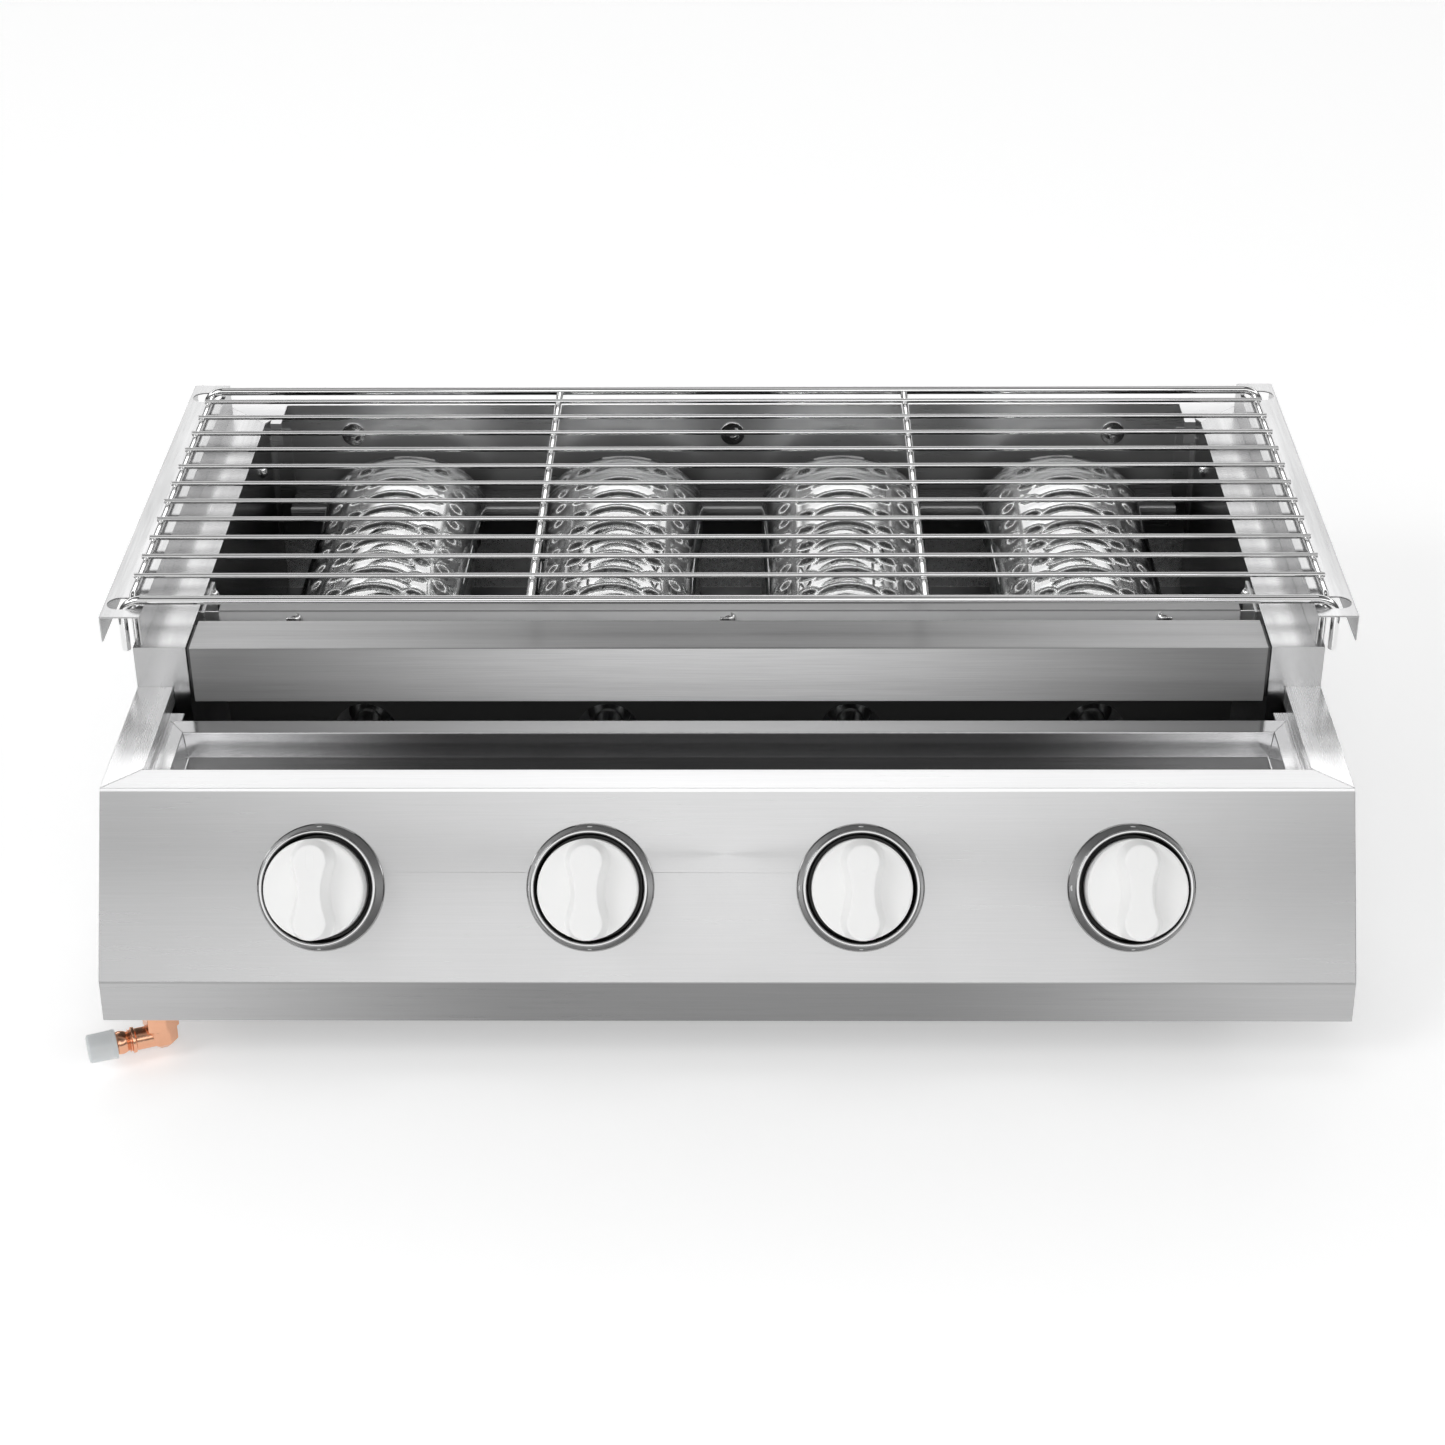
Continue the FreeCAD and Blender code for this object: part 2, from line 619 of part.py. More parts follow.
def arch_face(x, half, rise, base):
    """Upright half-ellipse arch standing on short straight sides."""
    springing = GLASS_CREST - GLASS_B
    centre = V(x, at_y(GLASS_FRONT), at_z(springing))
    ellipse = Part.Ellipse(centre, half, rise)
    ellipse.XAxis = V(1, 0, 0)
    ellipse.Axis = V(0, -1, 0)
    arc = Part.ArcOfEllipse(ellipse, 0.0, math.pi)
    right = V(x + half, at_y(GLASS_FRONT), at_z(springing))
    left = V(x - half, at_y(GLASS_FRONT), at_z(springing))
    low_left = V(left.x, left.y, at_z(base))
    low_right = V(right.x, right.y, at_z(base))
    edges = [arc.toShape(), Part.makeLine(left, low_left), Part.makeLine(low_left, low_right),
             Part.makeLine(low_right, right)]
    return Part.Face(Part.Wire(edges))


def glass_cover(index, x):
    length = GLASS_REAR - GLASS_FRONT
    outer = arch_face(x, GLASS_A, GLASS_B, GLASS_BASE).extrude(V(0, length, 0))
    inner = arch_face(x, GLASS_A - GLASS_T, GLASS_B - GLASS_T, GLASS_BASE - OVERCUT)
    inner.translate(V(0, GLASS_T, 0))
    inner = inner.extrude(V(0, length - 2.0 * GLASS_T, 0))
    feet_strips = [box(x + s * (GLASS_A - GLASS_T / 2.0), x + s * GLASS_FOOT_X, GLASS_FRONT, GLASS_REAR,
                       GLASS_BASE, GLASS_BASE + GLASS_FOOT_H) for s in (-1, 1)]
    save("glass_cover_%d" % index, fuse([outer] + feet_strips).cut(inner))


def burner(index, x):
    overlap = 2.0 * BURNER_WALL
    top = BURNER_Z + BURNER_R + OVERCUT
    tube = fuse([rod(BURNER_R, (x, BURNER_START, BURNER_Z), (x, BURNER_END, BURNER_Z)),
                 cone(MIXER_R + MIXER_WALL, BURNER_R, (x, MIXER_END, BURNER_Z), (x, BURNER_START, BURNER_Z)),
                 rod(BURNER_PIN_R, (x, BURNER_END, BURNER_Z), (x, CASE_DEPTH - SHEET, BURNER_Z))])
    tube = tube.cut(rod(BURNER_R - BURNER_WALL, (x, BURNER_START + overlap, BURNER_Z),
                        (x, BURNER_END - overlap, BURNER_Z)))
    tube = tube.cut(rod(MIXER_R - MIXER_WALL, (x, MIXER_END - OVERCUT, BURNER_Z),
                        (x, BURNER_START + OVERCUT, BURNER_Z)))
    for side in (-1, 1):
        for i in range(FLAME_SLOT_COUNT):
            d = FLAME_SLOT_START + i * FLAME_SLOT_PITCH
            tube = tube.cut(slot_tool(x + side * FLAME_SLOT_X, d, FLAME_SLOT_LEN, FLAME_SLOT_W,
                                      BURNER_Z, top, False))
    save("burner_%d" % index, tube)


def mixer_shell(x, inset):
    """Straight tube with a flared mouth towards the injector."""
    mouth = (x, MIXER_START, BURNER_Z)
    neck = (x, MIXER_NECK, BURNER_Z)
    return fuse([cone(MIXER_MOUTH_R - inset, MIXER_R - inset, mouth, neck),
                 rod(MIXER_R - inset, neck, (x, MIXER_END, BURNER_Z))])


def mixer_tubes():
    save_group("mixer_tubes", [mixer_shell(x, 0.0).cut(mixer_shell(x, MIXER_WALL)) for x in BURNER_X])


# ---- gas train ----------------------------------------------------------------------
def branch_pipe(x):
    """Short pipe from a valve down to the manifold."""
    return rod(BRANCH_R, (x, BRANCH_D, BRANCH_Z), (x, ELBOW_D, MANIFOLD_Z))


def gas_valves():
    valves = []
    for x in BURNER_X:
        solid = disc(VALVE_R, -VALVE_DEPTH, -NECK_END).fuse(disc(NECK_R, -NECK_END, NECK_END))
        body = on_face(solid, x)
        bore = on_face(disc(NECK_BORE, -VALVE_BORE_END, NECK_END + OVERCUT), x)
        nozzle = fuse([rod(JET_R, (x, 0.0, BURNER_Z), (x, JET_SHOULDER, BURNER_Z)),
                       cone(JET_R, JET_TIP_R, (x, JET_SHOULDER, BURNER_Z), (x, JET_TIP, BURNER_Z))])
        valves.append(fuse([body, nozzle, branch_pipe(x)]).cut(bore))
    save_group("gas_valves", valves)


def manifold():
    end = (BURNER_X[-1] + MANIFOLD_END, ELBOW_D, MANIFOLD_Z)
    corner = (ELBOW_X, ELBOW_D, MANIFOLD_Z)
    pipe = fuse([rod(MANIFOLD_R, corner, end), ball_at(MANIFOLD_R, corner),
                 rod(MANIFOLD_R, corner, (ELBOW_X, ELBOW_D, -CASE_H))])
    for x in BURNER_X:
        pipe = pipe.cut(branch_pipe(x))
    save("gas_manifold", pipe)


def arm_point(reach):
    turn = math.radians(ARM_TURN)
    return (ELBOW_X - reach * math.cos(turn), ELBOW_D - reach * math.sin(turn), ELBOW_Z)


def arm_ball(radius):
    """Ball on the arm, with its poles on the arm's axis."""
    place = arm_point(ARM_BALL)
    turn = math.radians(ARM_TURN)
    return Part.makeSphere(radius, V(place[0], at_y(place[1]), at_z(place[2])),
                           V(-math.cos(turn), -math.sin(turn), 0))


def inlet():
    nut_foot = -CASE_H - LOCK_NUT_H
    foot = ELBOW_Z - ELBOW_DROP
    shoulder = foot + ELBOW_CHAMFER
    save("inlet_nut", hex_nut((ELBOW_X, ELBOW_D, nut_foot), (ELBOW_X, ELBOW_D, -CASE_H),
                              LOCK_NUT_ACROSS, None))
    elbow = fuse([rod(ELBOW_R, (ELBOW_X, ELBOW_D, nut_foot), (ELBOW_X, ELBOW_D, shoulder)),
                  cone(ELBOW_R, ELBOW_R - ELBOW_CHAMFER, (ELBOW_X, ELBOW_D, shoulder),
                       (ELBOW_X, ELBOW_D, foot)),
                  rod(ARM_BASE_R, arm_point(0.0), arm_point(ARM_BASE_END)),
                  rod(ARM_R, arm_point(ARM_BASE_END), arm_point(ARM_END)),
                  arm_ball(ARM_BALL_R)])
    save("inlet_elbow", elbow.cut(rod(ARM_BORE, arm_point(ELBOW_R), arm_point(ARM_END + OVERCUT))))
    cap = rod(CAP_R, arm_point(CAP_START), arm_point(CAP_END))
    cap = cap.cut(rod(CAP_BORE, arm_point(CAP_START - OVERCUT), arm_point(CAP_WALL_END)))
    save("inlet_cap", cap.cut(arm_ball(CAP_SEAT_R)))


# ---- knobs --------------------------------------------------------------------------
def grip_outline(grow, height):
    """Dog-bone outline: two round lobes joined by hollow sides."""
    lobe = GRIP_LOBE + grow
    waist = GRIP_WAIST + grow
    hollow = (GRIP_SPAN ** 2 + waist ** 2 - lobe ** 2) / (2.0 * (lobe - waist))
    top = V(0, GRIP_MID + GRIP_SPAN, height)
    mid = V(hollow + waist, GRIP_MID, height)
    touch = top + (mid - top) * (lobe / (mid - top).Length)
    tx, ty = touch.x, touch.y - GRIP_MID
    corner = [V(sx * tx, GRIP_MID + sy * ty, height) for sx, sy in ((1, 1), (-1, 1), (-1, -1), (1, -1))]
    arcs = [Part.Arc(corner[0], V(0, GRIP_MID + GRIP_SPAN + lobe, height), corner[1]),
            Part.Arc(corner[1], V(-waist, GRIP_MID, height), corner[2]),
            Part.Arc(corner[2], V(0, GRIP_MID - GRIP_SPAN - lobe, height), corner[3]),
            Part.Arc(corner[3], V(waist, GRIP_MID, height), corner[0])]
    return Part.Wire([arc.toShape() for arc in arcs])


def knob_shape():
    root = KNOB_FACE - SHEET
    shell = disc(KNOB_R, KNOB_BASE, KNOB_FACE)
    shell = shell.cut(disc(KNOB_R - KNOB_WALL, KNOB_BASE - OVERCUT, KNOB_FACE - KNOB_TOP_WALL))
    grip = Part.makeLoft([grip_outline(GRIP_DRAFT, root), grip_outline(0.0, GRIP_TOP)], True)
    grip = grip.common(disc(KNOB_R, root, GRIP_TOP))
    return fuse([shell, disc(HUB_R, HUB_FOOT, KNOB_FACE), grip]).cut(disc(STEM_R, HUB_FOOT, STEM_TIP))


def spring_shape():
    """Wound spring, simplified to a stack of rings joined by a thin post."""
    turns = [Part.makeTorus(SPRING_R, SPRING_WIRE, V(0, 0, SPRING_FOOT + SPRING_PITCH * i))
             for i in range(SPRING_COILS)]
    width = 1.2 * SPRING_WIRE
    post = Part.makeBox(width, width, SPRING_PITCH * (SPRING_COILS - 1),
                        V(SPRING_R - width / 2.0, -width / 2.0, SPRING_FOOT))
    return fuse(turns + [post])


def knob_group(index, x):
    bezel = Part.makeCone(BEZEL_R, BEZEL_TOP_R, BEZEL_H)
    bezel = bezel.cut(disc(BEZEL_IN_R, BEZEL_FLOOR, BEZEL_H + OVERCUT))
    bezel = bezel.cut(disc(NECK_R + NECK_GAP, -OVERCUT, BEZEL_FLOOR + OVERCUT))
    save("bezel_%d" % index, on_face(bezel, x))
    plug = disc(NECK_BORE - FIT, -PLUG_END, -PLUG_TOP)
    save("valve_plug_%d" % index, on_face(plug.cut(disc(STEM_R + FIT, -PLUG_END, -PLUG_TOP)), x))
    save("push_spring_%d" % index, on_face(spring_shape(), x))
    stem = disc(STEM_R, -STEM_END, STEM_TIP).fuse(disc(COLLAR_R, COLLAR_FOOT, COLLAR_TOP))
    save("valve_stem_%d" % index, on_face(stem.removeSplitter(), x))
    save("knob_%d" % index, on_face(knob_shape(), x))


# ---- drip tray ------------------------------------------------------------------------
def tray_wire(inset, height):
    """Outline of the tub, drawn in from the rim's inner edge by the inset."""
    x = TRAY_HALF - TRAY_RIM - inset
    d0 = TRAY_FRONT + TRAY_RIM + inset
    d1 = TRAY_REAR - TRAY_REAR_RIM - inset
    points = [V(-x, at_y(d0), at_z(height)), V(x, at_y(d0), at_z(height)),
              V(x, at_y(d1), at_z(height)), V(-x, at_y(d1), at_z(height))]
    return Part.makePolygon(points + [points[0]])


def drip_tray():
    t = TRAY_SHEET
    slope = TRAY_DRAFT / (TRAY_TOP - TRAY_FLOOR)
    rim = box(-TRAY_HALF, TRAY_HALF, TRAY_FRONT, TRAY_REAR, TRAY_TOP - t, TRAY_TOP)
    tub = Part.makeLoft([tray_wire(-t, TRAY_TOP), tray_wire(TRAY_DRAFT - t, TRAY_FLOOR - t)], True)
    hollow = Part.makeLoft([tray_wire(-slope * OVERCUT, TRAY_TOP + OVERCUT),
                            tray_wire(TRAY_DRAFT, TRAY_FLOOR)], True)
    save("drip_tray", fuse([rim, tub]).cut(hollow))


# ---- grate ----------------------------------------------------------------------------
def bent_rod(radius, bend, points):
    """Round bar along three runs that share two right-angle bends, given as (x, depth, height)."""
    p = [V(a[0], at_y(a[1]), at_z(a[2])) for a in points]
    edges = []
    start = p[0]
    for i in (1, 2):
        u = (p[i - 1] - p[i]).normalize()
        w = (p[i + 1] - p[i]).normalize()
        a = p[i] + u * bend
        b = p[i] + w * bend
        m = p[i] + (u + w) * (bend * (1.0 - math.sqrt(0.5)))
        edges.append(Part.makeLine(start, a))
        edges.append(Part.Arc(a, m, b).toShape())
        start = b
    edges.append(Part.makeLine(start, p[3]))
    path = Part.Wire(edges)
    ring = Part.Wire(Part.makeCircle(radius, p[0], p[1] - p[0]))
    return path.makePipeShell([ring], True, False)


def grate():
    side_rods = []
    for name, d in (("grate_front_rod", FRONT_ROD_D), ("grate_rear_rod", REAR_ROD_D)):
        points = [(-LEG_X, d, LEG_FOOT), (-LEG_X, d, ROD_Z), (LEG_X, d, ROD_Z), (LEG_X, d, LEG_FOOT)]
        save(name, bent_rod(ROD_R, ROD_BEND, points))
    side_z = WIRE_Z - WIRE_R - SIDE_ROD_R + WELD
    near = FRONT_ROD_D + LEG_STEP
    far = REAR_ROD_D - LEG_STEP
    for s in (-1, 1):
        x = s * SIDE_ROD_X
        points = [(x, near, LEG_FOOT), (x, near, side_z), (x, far, side_z), (x, far, LEG_FOOT)]
        side_rods.append(bent_rod(SIDE_ROD_R, SIDE_BEND, points))
    save_group("grate_side_rods", side_rods)
    mid_z = WIRE_Z - WIRE_R - MID_ROD_R + WELD
    start = FRONT_ROD_D + ROD_R - 2.0 * WELD
    end = REAR_ROD_D - ROD_R + 2.0 * WELD
    save_group("grate_middle_rods", [rod(MID_ROD_R, (s * MID_ROD_X, start, mid_z),
                                         (s * MID_ROD_X, end, mid_z)) for s in (-1, 1)])
    wires = []
    for i in range(WIRE_COUNT):
        d = WIRE_FIRST + i * WIRE_PITCH
        wires.append(rod(WIRE_R, (-WIRE_HALF, d, WIRE_Z), (WIRE_HALF, d, WIRE_Z)))
    save_group("grate_cross_wires", wires)


os.makedirs("parts", exist_ok=True)
front_panel()
side_panel(-1, "side_panel_left")
side_panel(1, "side_panel_right")
base_pan()
back_panel()
feet()
side_frame(-1, "side_frame_left")
side_frame(1, "side_frame_right")
rear_wall()
cross_bar()
corner_brackets()
grate_rail(-1, "grate_rail_left")
grate_rail(1, "grate_rail_right")
burner_box_front()
glass_ledges()
wall_fasteners()
mixer_tubes()
gas_valves()
manifold()
inlet()
drip_tray()
grate()
for number, burner_x in enumerate(BURNER_X, 1):
    glass_cover(number, burner_x)
    burner(number, burner_x)
    knob_group(number, burner_x)
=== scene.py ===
import json
import math

import bmesh
import bpy
from mathutils import Matrix, Vector


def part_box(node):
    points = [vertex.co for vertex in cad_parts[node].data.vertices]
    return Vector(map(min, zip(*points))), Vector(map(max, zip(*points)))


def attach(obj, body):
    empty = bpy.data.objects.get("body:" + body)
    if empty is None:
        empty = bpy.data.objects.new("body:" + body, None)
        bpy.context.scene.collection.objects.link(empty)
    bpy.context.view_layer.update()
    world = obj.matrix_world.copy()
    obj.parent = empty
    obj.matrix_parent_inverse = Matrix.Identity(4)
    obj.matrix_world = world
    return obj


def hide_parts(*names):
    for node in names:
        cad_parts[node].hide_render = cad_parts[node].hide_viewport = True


# Table-top gas barbecue grill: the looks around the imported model, in metres in the model's frame.

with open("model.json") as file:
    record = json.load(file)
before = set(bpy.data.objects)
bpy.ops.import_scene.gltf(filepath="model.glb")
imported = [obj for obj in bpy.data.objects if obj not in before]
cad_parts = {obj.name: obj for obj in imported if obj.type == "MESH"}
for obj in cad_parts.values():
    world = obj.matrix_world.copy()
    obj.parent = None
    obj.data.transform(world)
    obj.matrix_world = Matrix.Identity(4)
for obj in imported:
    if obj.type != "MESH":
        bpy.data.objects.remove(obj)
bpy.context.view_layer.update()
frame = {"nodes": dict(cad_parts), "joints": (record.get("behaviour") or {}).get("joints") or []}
NODES = frame["nodes"]
JOINTS = {joint["name"]: joint for joint in frame["joints"]}
MM = 0.001
BURNERS = (1, 2, 3, 4)

# ---- camera and light -------------------------------------------------------------
CAMERA_AT = (0.02066, -1.5792, 1.01832)
CAMERA_DOWN = 30.65        # degrees below the horizon
CAMERA_TURN = 0.914        # degrees towards -X
CAMERA_ROLL = -0.488
CAMERA_LENS = 70.81
SENSOR = 36.0

FLOOR_HALF = 14.0
FLOOR_DROP = 0.0005        # just under the feet
FLOOR_GLOW = 0.36
SKY_STRENGTH = 3.0
SKY = ((0.0, 0.32), (0.46, 0.32), (0.52, 0.02), (0.60, 0.04), (0.675, 0.16), (0.70, 0.85), (0.752, 0.85),
       (0.765, 0.22), (0.82, 0.10), (1.0, 0.03))    # the surroundings from straight below to straight above

SOFTBOXES = (              # name, place, aim, width, height and watts
    ("key", (-2.2, -1.9, 2.6), (0.0, 0.0, 0.1), 1.3, 1.1, 24.0),
    ("front", (0.1, -3.0, 2.35), (0.0, 0.0, 0.1), 1.5, 0.9, 6.0),
    ("top", (0.0, 0.1, 3.0), (0.0, 0.0, 0.0), 2.0, 0.8, 5.0),
    ("back", (0.0, 2.7, 2.6), (0.0, 0.0, 0.1), 3.2, 1.1, 4.0),
)


def camera():
    data = bpy.data.cameras.new("camera")
    data.lens = CAMERA_LENS
    data.sensor_width = SENSOR
    data.clip_start = 0.01
    turn = Matrix.Rotation(math.radians(CAMERA_TURN), 3, "Z")
    tilt = Matrix.Rotation(math.radians(90.0 - CAMERA_DOWN), 3, "X")
    roll = Matrix.Rotation(math.radians(CAMERA_ROLL), 3, "Z")
    eye = bpy.data.objects.new("camera", data)
    eye.matrix_world = Matrix.Translation(CAMERA_AT) @ (turn @ tilt @ roll).to_4x4()
    bpy.context.scene.collection.objects.link(eye)
    bpy.context.scene.camera = eye


def softbox(name, place, target, width, height, power):
    data = bpy.data.lights.new(name, "AREA")
    data.shape = "RECTANGLE"
    data.size = width
    data.size_y = height
    data.energy = power
    lamp = bpy.data.objects.new(name, data)
    aim = (Vector(target) - Vector(place)).to_track_quat("-Z", "Y")
    lamp.matrix_world = Matrix.Translation(place) @ aim.to_matrix().to_4x4()
    bpy.context.scene.collection.objects.link(lamp)


def surroundings():
    world = bpy.data.worlds.new("studio")
    bpy.context.scene.world = world
    world.use_nodes = True
    tree = world.node_tree
    where = tree.nodes.new("ShaderNodeTexCoord")
    split = tree.nodes.new("ShaderNodeSeparateXYZ")
    share = tree.nodes.new("ShaderNodeMapRange")
    share.inputs["From Min"].default_value = -1.0
    ramp = tree.nodes.new("ShaderNodeValToRGB")
    points = ramp.color_ramp.elements
    while len(points) < len(SKY):
        points.new(0.5)
    for point, (place, grey) in zip(points, SKY):
        point.position = place
        point.color = (grey, grey, grey, 1.0)
    tree.nodes["Background"].inputs["Strength"].default_value = SKY_STRENGTH
    tree.links.new(where.outputs["Generated"], split.inputs[0])
    tree.links.new(split.outputs["Z"], share.inputs["Value"])
    tree.links.new(share.outputs["Result"], ramp.inputs["Fac"])
    tree.links.new(ramp.outputs["Color"], tree.nodes["Background"].inputs["Color"])


def floor():
    h = FLOOR_HALF
    mesh = bpy.data.meshes.new("floor")
    mesh.from_pydata([(-h, -h, 0), (h, -h, 0), (h, h, 0), (-h, h, 0)], [], [(0, 1, 2, 3)])
    ground = bpy.data.objects.new("floor", mesh)
    ground.location.z = -FLOOR_DROP
    mat = bpy.data.materials.new("floor")
    mat.use_nodes = True
    shader = mat.node_tree.nodes["Principled BSDF"]
    shader.inputs["Base Color"].default_value = (0.93, 0.93, 0.93, 1)
    shader.inputs["Roughness"].default_value = 0.9
    shader.inputs["Emission Color"].default_value = (1, 1, 1, 1)
    shader.inputs["Emission Strength"].default_value = FLOOR_GLOW
    mesh.materials.append(mat)
    bpy.context.scene.collection.objects.link(ground)


# ---- materials ---------------------------------------------------------------------
X, Y, Z = 0, 1, 2          # axes of grain and of the fades that paint light and shade
SKIRT_FOLD = (Z, 0.0595, 0.061)       # axis, start and end of a fade that paints light and shade: panel to its lower fold
FLANGE_FOLD = (Z, 0.1535, 0.1545)     # panel to its top flange
BAR_FOLD = (Z, 0.1815, 0.1823)        # cross bar's front to its top
BOX_FOLD = (Z, 0.1755, 0.1765)        # burner box wall to its top flange
FRAME_SIDE = (X, 0.3284, 0.3287)      # side frame's inner wall to its top


class Finish:
    """A procedural material: a principled shader with textures in the object's own metres."""

    def __init__(self, name, color, metallic=0.0, roughness=0.5):
        self.mat = bpy.data.materials.new(name)
        self.mat.use_nodes = True
        self.tree = self.mat.node_tree
        self.shader = self.tree.nodes["Principled BSDF"]
        self.color = color
        self.roughness = roughness
        self.set("Metallic", metallic)
        self.set("Base Color", (*color, 1))
        self.set("Roughness", roughness)
        self.where = self.tree.nodes.new("ShaderNodeTexCoord").outputs["Object"]

    def set(self, socket, value):
        self.shader.inputs[socket].default_value = value

    def noise(self, scales, detail=2.0, spread=0.5):
        """Noise from 0 to 1 with that many features to the metre along x, y and z."""
        stretch = self.tree.nodes.new("ShaderNodeMapping")
        stretch.inputs["Scale"].default_value = scales
        node = self.tree.nodes.new("ShaderNodeTexNoise")
        node.inputs["Scale"].default_value = 1.0
        node.inputs["Detail"].default_value = detail
        node.inputs["Roughness"].default_value = spread
        self.tree.links.new(self.where, stretch.inputs["Vector"])
        self.tree.links.new(stretch.outputs["Vector"], node.inputs["Vector"])
        return node.outputs["Fac"]

    def mixed(self, base, parts):
        """base plus the sum of weight x (noise - 0.5), as one value."""
        total = None
        for value, weight in parts:
            node = self.tree.nodes.new("ShaderNodeMath")
            node.operation = "MULTIPLY_ADD"
            self.tree.links.new(value, node.inputs[0])
            node.inputs[1].default_value = weight
            if total is None:
                node.inputs[2].default_value = base - 0.5 * sum(part[1] for part in parts)
            else:
                self.tree.links.new(total, node.inputs[2])
            total = node.outputs[0]
        return total

    def rough_from(self, parts):
        self.tree.links.new(self.mixed(self.roughness, parts), self.shader.inputs["Roughness"])

    def fade(self, axis, start, end, first, last):
        """A value that goes smoothly from first to last along an axis, used to paint light and shade into a
        colour; along x it is the same on both sides.
        """
        split = self.tree.nodes.new("ShaderNodeSeparateXYZ")
        self.tree.links.new(self.where, split.inputs[0])
        place = split.outputs[axis]
        if axis == X:
            plain = self.tree.nodes.new("ShaderNodeMath")
            plain.operation = "ABSOLUTE"
            self.tree.links.new(place, plain.inputs[0])
            place = plain.outputs[0]
        ramp = self.tree.nodes.new("ShaderNodeMapRange")
        ramp.interpolation_type = "SMOOTHSTEP"
        for socket, number in (("From Min", start), ("From Max", end), ("To Min", first), ("To Max", last)):
            ramp.inputs[socket].default_value = number
        self.tree.links.new(place, ramp.inputs["Value"])
        return ramp.outputs["Result"]

    def joined(self, operation, first, second):
        node = self.tree.nodes.new("ShaderNodeMath")
        node.operation = operation
        self.tree.links.new(first, node.inputs[0])
        self.tree.links.new(second, node.inputs[1])
        return node.outputs[0]

    def color_from(self, parts, painted_light_fades=()):
        """The base colour, lightened and darkened by the noises, and by the largest of each group of fades, which
        paint light and shade into it.
        """
        value = self.mixed(1.0, parts)
        for group in painted_light_fades:
            largest = self.fade(*group[0])
            for other in group[1:]:
                largest = self.joined("MAXIMUM", largest, self.fade(*other))
            value = self.joined("MULTIPLY", value, largest)
        node = self.tree.nodes.new("ShaderNodeVectorMath")
        node.operation = "SCALE"
        node.inputs[0].default_value = self.color
        self.tree.links.new(value, node.inputs["Scale"])
        self.tree.links.new(node.outputs[0], self.shader.inputs["Base Color"])

    def bump_from(self, parts, height):
        node = self.tree.nodes.new("ShaderNodeBump")
        node.inputs["Distance"].default_value = height
        self.tree.links.new(self.mixed(0.5, parts), node.inputs["Height"])
        self.tree.links.new(node.outputs[0], self.shader.inputs["Normal"])


def steel(name, tone, roughness, grain, fine=1900.0, depth=0.000005, streaks=0.16, painted_light_fades=(), metal=1.0):
    """Brushed sheet: fine lines along the grain axis, broader bands, and faint smudges; any fades paint light and
    shade into its colour.
    """
    finish = Finish(name, (tone, tone, tone * 1.005), metal, roughness)
    along, across = [24.0, 5.0], [fine, 330.0]
    lines, bands = [finish.noise([along[i] if axis == grain else across[i] for axis in range(3)], 3.0)
                    for i in range(2)]
    smudge = finish.noise((9.0, 9.0, 9.0), 3.0, 0.6)
    finish.rough_from([(lines, 0.10), (bands, 0.05), (smudge, 0.08)])
    finish.color_from([(lines, streaks), (bands, streaks * 0.7), (smudge, 0.05)], painted_light_fades)
    finish.bump_from([(lines, 1.0), (bands, 0.4)], depth)
    finish.set("Anisotropic", 0.45)
    return finish.mat


def chrome(name, tone, roughness, wavy=0.00006):
    finish = Finish(name, (tone, tone, tone), 1.0, roughness)
    haze = finish.noise((60.0, 60.0, 60.0), 4.0, 0.6)
    wave = finish.noise((35.0, 35.0, 35.0), 1.0)
    finish.rough_from([(haze, 0.10)])
    finish.color_from([(haze, 0.05)])
    finish.bump_from([(wave, 1.0)], wavy)
    return finish.mat


def clear_glass():
    finish = Finish("pressed_glass", (0.965, 0.985, 0.98), 0.0, 0.015)
    ripple = finish.noise((160.0, 90.0, 160.0), 2.0)
    haze = finish.noise((25.0, 25.0, 25.0), 3.0)
    finish.set("Transmission Weight", 1.0)
    finish.set("IOR", 1.5)
    finish.set("Coat Weight", 1.0)
    finish.set("Coat IOR", 2.5)
    finish.set("Coat Roughness", 0.03)
    finish.rough_from([(haze, 0.03)])
    finish.bump_from([(ripple, 1.0)], 0.00004)
    return finish.mat


def white_plastic():
    finish = Finish("white_plastic", (0.96, 0.96, 0.955), 0.0, 0.34)
    grain = finish.noise((2600.0, 2600.0, 2600.0), 2.0)
    cloud = finish.noise((45.0, 45.0, 45.0), 3.0)
    finish.rough_from([(grain, 0.06), (cloud, 0.10)])
    finish.color_from([(cloud, 0.03)])
    finish.bump_from([(grain, 1.0)], 0.00001)
    finish.set("Coat Weight", 0.15)
    finish.set("Coat Roughness", 0.2)
    return finish.mat


def ink(name, tone):
    finish = Finish(name, (tone, tone, tone), 0.0, 0.45)
    wear = finish.noise((400.0, 400.0, 400.0), 3.0)
    finish.rough_from([(wear, 0.2)])
    finish.color_from([(wear, 0.12)])
    return finish.mat


def rose_brass():
    finish = Finish("rose_brass", (0.83, 0.45, 0.29), 1.0, 0.24)
    turning = finish.noise((900.0, 900.0, 900.0), 2.0)
    tarnish = finish.noise((70.0, 70.0, 70.0), 4.0, 0.65)
    finish.rough_from([(turning, 0.08), (tarnish, 0.16)])
    finish.color_from([(tarnish, 0.22)])
    finish.bump_from([(turning, 1.0)], 0.00001)
    return finish.mat


def milky_plastic():
    finish = Finish("milky_plastic", (0.83, 0.86, 0.87), 0.0, 0.32)
    cloud = finish.noise((120.0, 120.0, 120.0), 3.0)
    finish.set("Transmission Weight", 0.35)
    finish.set("IOR", 1.45)
    finish.rough_from([(cloud, 0.12)])
    finish.color_from([(cloud, 0.05)])
    finish.bump_from([(cloud, 1.0)], 0.0001)
    return finish.mat


